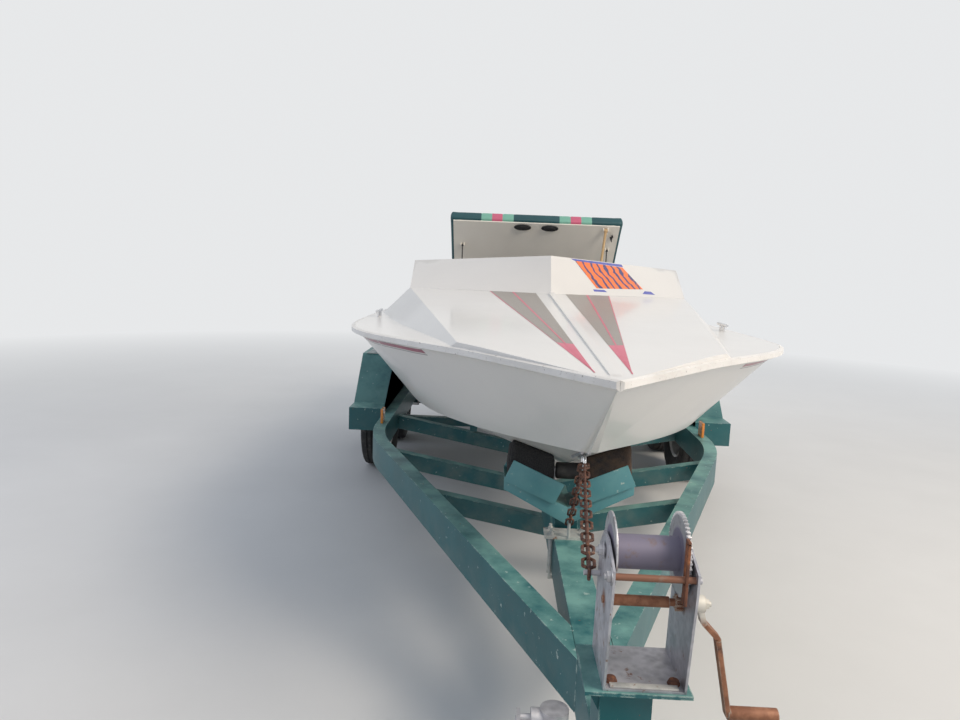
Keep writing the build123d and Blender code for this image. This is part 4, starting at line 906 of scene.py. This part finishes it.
# Clamp and chain: a whitish galvanised plate held to the tongue by two U-bolts, and a heavy rusty chain
# from it and from the winch to the bow eye.
pale_zinc = Finish("pale_zinc", (0.56, 0.56, 0.53), 0.55, metal=0.25)
pale_zinc.patch((0.40, 0.41, 0.40), 24.0, 0.42, 0.62)
pale_zinc.patch((0.28, 0.15, 0.09), 50.0, 0.63, 0.70)
eased("bolster_clamp", pale_zinc, edge=0.001)
clamp_nuts = []
for y in (bow_y + 0.897, bow_y + 0.950):
    for side in (-0.062, 0.062):
        clamp_nuts += bolt((side, y, tongue_top + 0.010), (0, 0, 1), 0.011, 0.012)
add_on("clamp_nuts", clamp_nuts, "bolster_clamp", pale_zinc, edge=0)
chain_rust = Finish("chain_rust", (0.135, 0.060, 0.040), 0.68, metal=0.2)
chain_rust.patch((0.060, 0.030, 0.026), 60.0, 0.42, 0.60)
chain_rust.patch((0.26, 0.115, 0.060), 90.0, 0.54, 0.68)
chain_rust.patch((0.30, 0.24, 0.21), 30.0, 0.62, 0.72)
eased("chain", chain_rust, edge=0.0018, angle=30)


# Winch: a geared hand winch in zinc plate, with a purplish worn drum, a rusty spacer, pinion and pawl,
# and a crank whose bent flat arm starts from a pale boss. Rusty bolts hold it down on a pale cross plate.
winch_zinc = Finish("winch_zinc", (0.42, 0.42, 0.46), 0.40, metal=0.75)
winch_zinc.paint(winch_zinc.cells(60.0, 0.15, 0.65), (0.52, 0.52, 0.56))
winch_zinc.patch((0.30, 0.30, 0.33), 15.0, 0.45, 0.72)
winch_zinc.dull(0.56, 40.0, 0.35, 0.7)
cheek_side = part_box("winch_frame")[0].x
drum_axis = Vector((0, bow_y - 0.263, 0.955))
spacer_spot = Vector((0, bow_y - 0.361, 0.941))
shaft_spot = Vector((0, bow_y - 0.2875, 0.858))
on_bar = winch_zinc.times(winch_zinc.between(winch_zinc.away(spacer_spot), 0.0095, 0.0085),
                          winch_zinc.times(winch_zinc.along("X", -0.051, -0.049),
                                           winch_zinc.along("X", 0.111, 0.109)))
winch_zinc.paint(on_bar, (0.22, 0.095, 0.055))
winch_zinc.over(on_bar, "Metallic", 0.1)
winch_zinc.patch((0.23, 0.13, 0.09), 44.0, 0.62, 0.70)
stain = winch_zinc.times(winch_zinc.between(winch_zinc.away(shaft_spot), 0.026, 0.014),
                         winch_zinc.cloud(70.0, 0.30, 0.55))
winch_zinc.paint(stain, (0.21, 0.10, 0.065))
winch_zinc.over(stain, "Metallic", 0.1)
eased("winch_frame", winch_zinc)
drum_zinc = Finish("drum_zinc", (0.46, 0.46, 0.48), 0.38, metal=0.75)
drum_zinc.paint(drum_zinc.cells(70.0, 0.15, 0.65), (0.56, 0.56, 0.58))
barrel = drum_zinc.between(drum_zinc.away(drum_axis), 0.060, 0.052)
drum_zinc.paint(barrel, (0.20, 0.185, 0.25))
drum_zinc.rough(barrel, 0.6)
drum_zinc.over(barrel, "Metallic", 0.3)
drum_zinc.patch((0.20, 0.15, 0.15), 36.0, 0.58, 0.72)
eased("winch_drum", drum_zinc, edge=0.0008)
crank_paint = Finish("crank_paint", (0.23, 0.095, 0.050), 0.6, metal=0.2)
crank_paint.patch((0.34, 0.155, 0.085), 40.0, 0.42, 0.62)
crank_paint.patch((0.105, 0.050, 0.034), 22.0, 0.60, 0.70)
boss = crank_paint.times(crank_paint.along("X", 0.126, 0.129), crank_paint.along("Z", 0.815, 0.835))
crank_paint.paint(boss, (0.62, 0.60, 0.54))
worn = crank_paint.times(crank_paint.edges(0.004, 0.02, 0.15), crank_paint.cloud(18.0, 0.4, 0.55))
crank_paint.paint(worn, (0.52, 0.47, 0.40))
crank_low, crank_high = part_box("winch_crank")
cut_from, half_wide, arm_half, grip_z = 0.1291, 0.012, 0.0055, 0.616
crank_skin = loose_copy("winch_crank")
bpy.ops.object.mode_set(mode="EDIT")
bpy.ops.mesh.select_mode(type="VERT")
bpy.ops.mesh.select_all(action="DESELECT")
bpy.ops.object.mode_set(mode="OBJECT")
for vertex in crank_skin.data.vertices:
    vertex.select = vertex.co.x > cut_from
bpy.ops.object.mode_set(mode="EDIT")
bpy.ops.mesh.delete(type="VERT")
bpy.ops.object.mode_set(mode="OBJECT")
shaft_y = (crank_low.y + crank_high.y) / 2
shaft_at = Vector((0, shaft_y, shaft_spot.z))
crank_parts = [crank_skin]
for start, end, radius in ((crank_low.x, 0.150, 0.008), (-0.047, 0.080, 0.0115), (0.120, 0.152, 0.018)):
    crank_parts.append(round_bar((start, *shaft_at[1:]), (end, *shaft_at[1:]), radius, 32))
crank_parts += bolt((0.152, *shaft_at[1:]), (1, 0, 0), 0.011, 0.010)
arm_bends = ((0.143, 0.858), (0.153, 0.820), (0.186, 0.786), (0.222, 0.612))
for (x, z), (next_x, next_z) in zip(arm_bends, arm_bends[1:]):
    run = Vector((next_x - x, 0, next_z - z))
    strip = block((-arm_half, -half_wide, 0), (arm_half, half_wide, run.length))
    lean = Vector((0, 0, 1)).rotation_difference(run).to_matrix().to_4x4()
    strip.data.transform(Matrix.Translation((x, shaft_y, z)) @ lean)
    bend = round_bar((x, shaft_y - half_wide, z), (x, shaft_y + half_wide, z), arm_half, 16)
    crank_parts += [strip, bend]
grip_from = (arm_bends[-1][0], shaft_y, grip_z)
crank_parts.append(round_bar(grip_from, (crank_high.x, shaft_y, grip_z), 0.0145, 24))
crank_skin = joined(crank_parts)
modify(crank_skin, "BEVEL", width=0.0012, segments=2, limit_method="ANGLE", angle_limit=radians(40))
smooth(crank_skin)
place_on(crank_skin, "winch_crank_skin", "crank", crank_paint, ["winch_crank"])
winch_bolts = []
for inset, spot in ((0.032, drum_axis), (0.036, spacer_spot)):
    winch_bolts += bolt((cheek_side + inset, spot.y, spot.z), (-1, 0, 0), 0.012, 0.010)
add_on("winch_nuts", winch_bolts, "winch_frame", zinc, edge=0)
base_top = 0.695
rusty_heads = []
for side in (-0.035, 0.095):
    head = Vector((side, drum_axis.y - 0.055, base_top))
    rusty_heads.append(round_bar(head, head + Vector((0, 0, 0.009)), 0.014, 28, 0.010))
add_on("winch_base_bolts", rusty_heads, "winch_frame", rust, edge=0.001)
cross_plate = block((-0.040, drum_axis.y - 0.082, base_top), (0.100, drum_axis.y - 0.066, base_top + 0.004))
add_on("winch_cross_plate", [cross_plate], "winch_frame", pale_zinc, edge=0.001)
pawl_parts = []
for behind, ahead, low, high in ((-0.011, -0.005, -0.012, 0.078), (0.005, 0.011, -0.012, 0.078),
                                 (-0.011, 0.011, 0.074, 0.082), (-0.013, 0.011, -0.050, -0.010)):
    pawl_parts.append(block((0.087, spacer_spot.y + behind, spacer_spot.z + low),
                            (0.093, spacer_spot.y + ahead, spacer_spot.z + high)))
add_on("winch_pawl", pawl_parts, "winch_frame", rust, edge=0.001)


# Jack and coupler: a swivel tongue jack in bright zinc with a side-wound handle and a foot plate, and a
# ball coupler bolted into the end of the tongue.
for node, edge in (("jack_tube", 0.002), ("jack_leg", 0.0015), ("jack_crank", 0.0015), ("coupler", 0.002)):
    eased(node, zinc, edge=edge)
coupler_bolts = []
for ahead in (0.94, 0.86):
    coupler_bolts += bolt((0, bow_y - ahead, tongue_top + 0.006), (0, 0, 1), 0.012, 0.011)
add_on("coupler_bolts", coupler_bolts, "coupler", zinc, edge=0)


# Lamps: amber side markers ahead of the fenders and red tail lamps behind them. They are ribbed plastic
# lenses, each screwed on by its base.
lens_glass = Finish("lens_red", (0.50, 0.022, 0.018), 0.15, coat=0.8)
lens_glass.paint(lens_glass.along("Y", bow_y + 3.8, bow_y + 3.6), (0.75, 0.24, 0.02))
ribs = lens_glass.add("ShaderNodeTexWave", {"Vector": lens_glass.place, "Scale": 40.0}, bands_direction="Z")
lens_glass.raise_by(ribs.outputs[1], 0.001, 0.5)
eased("trailer_lamps", lens_glass, edge=0.003)
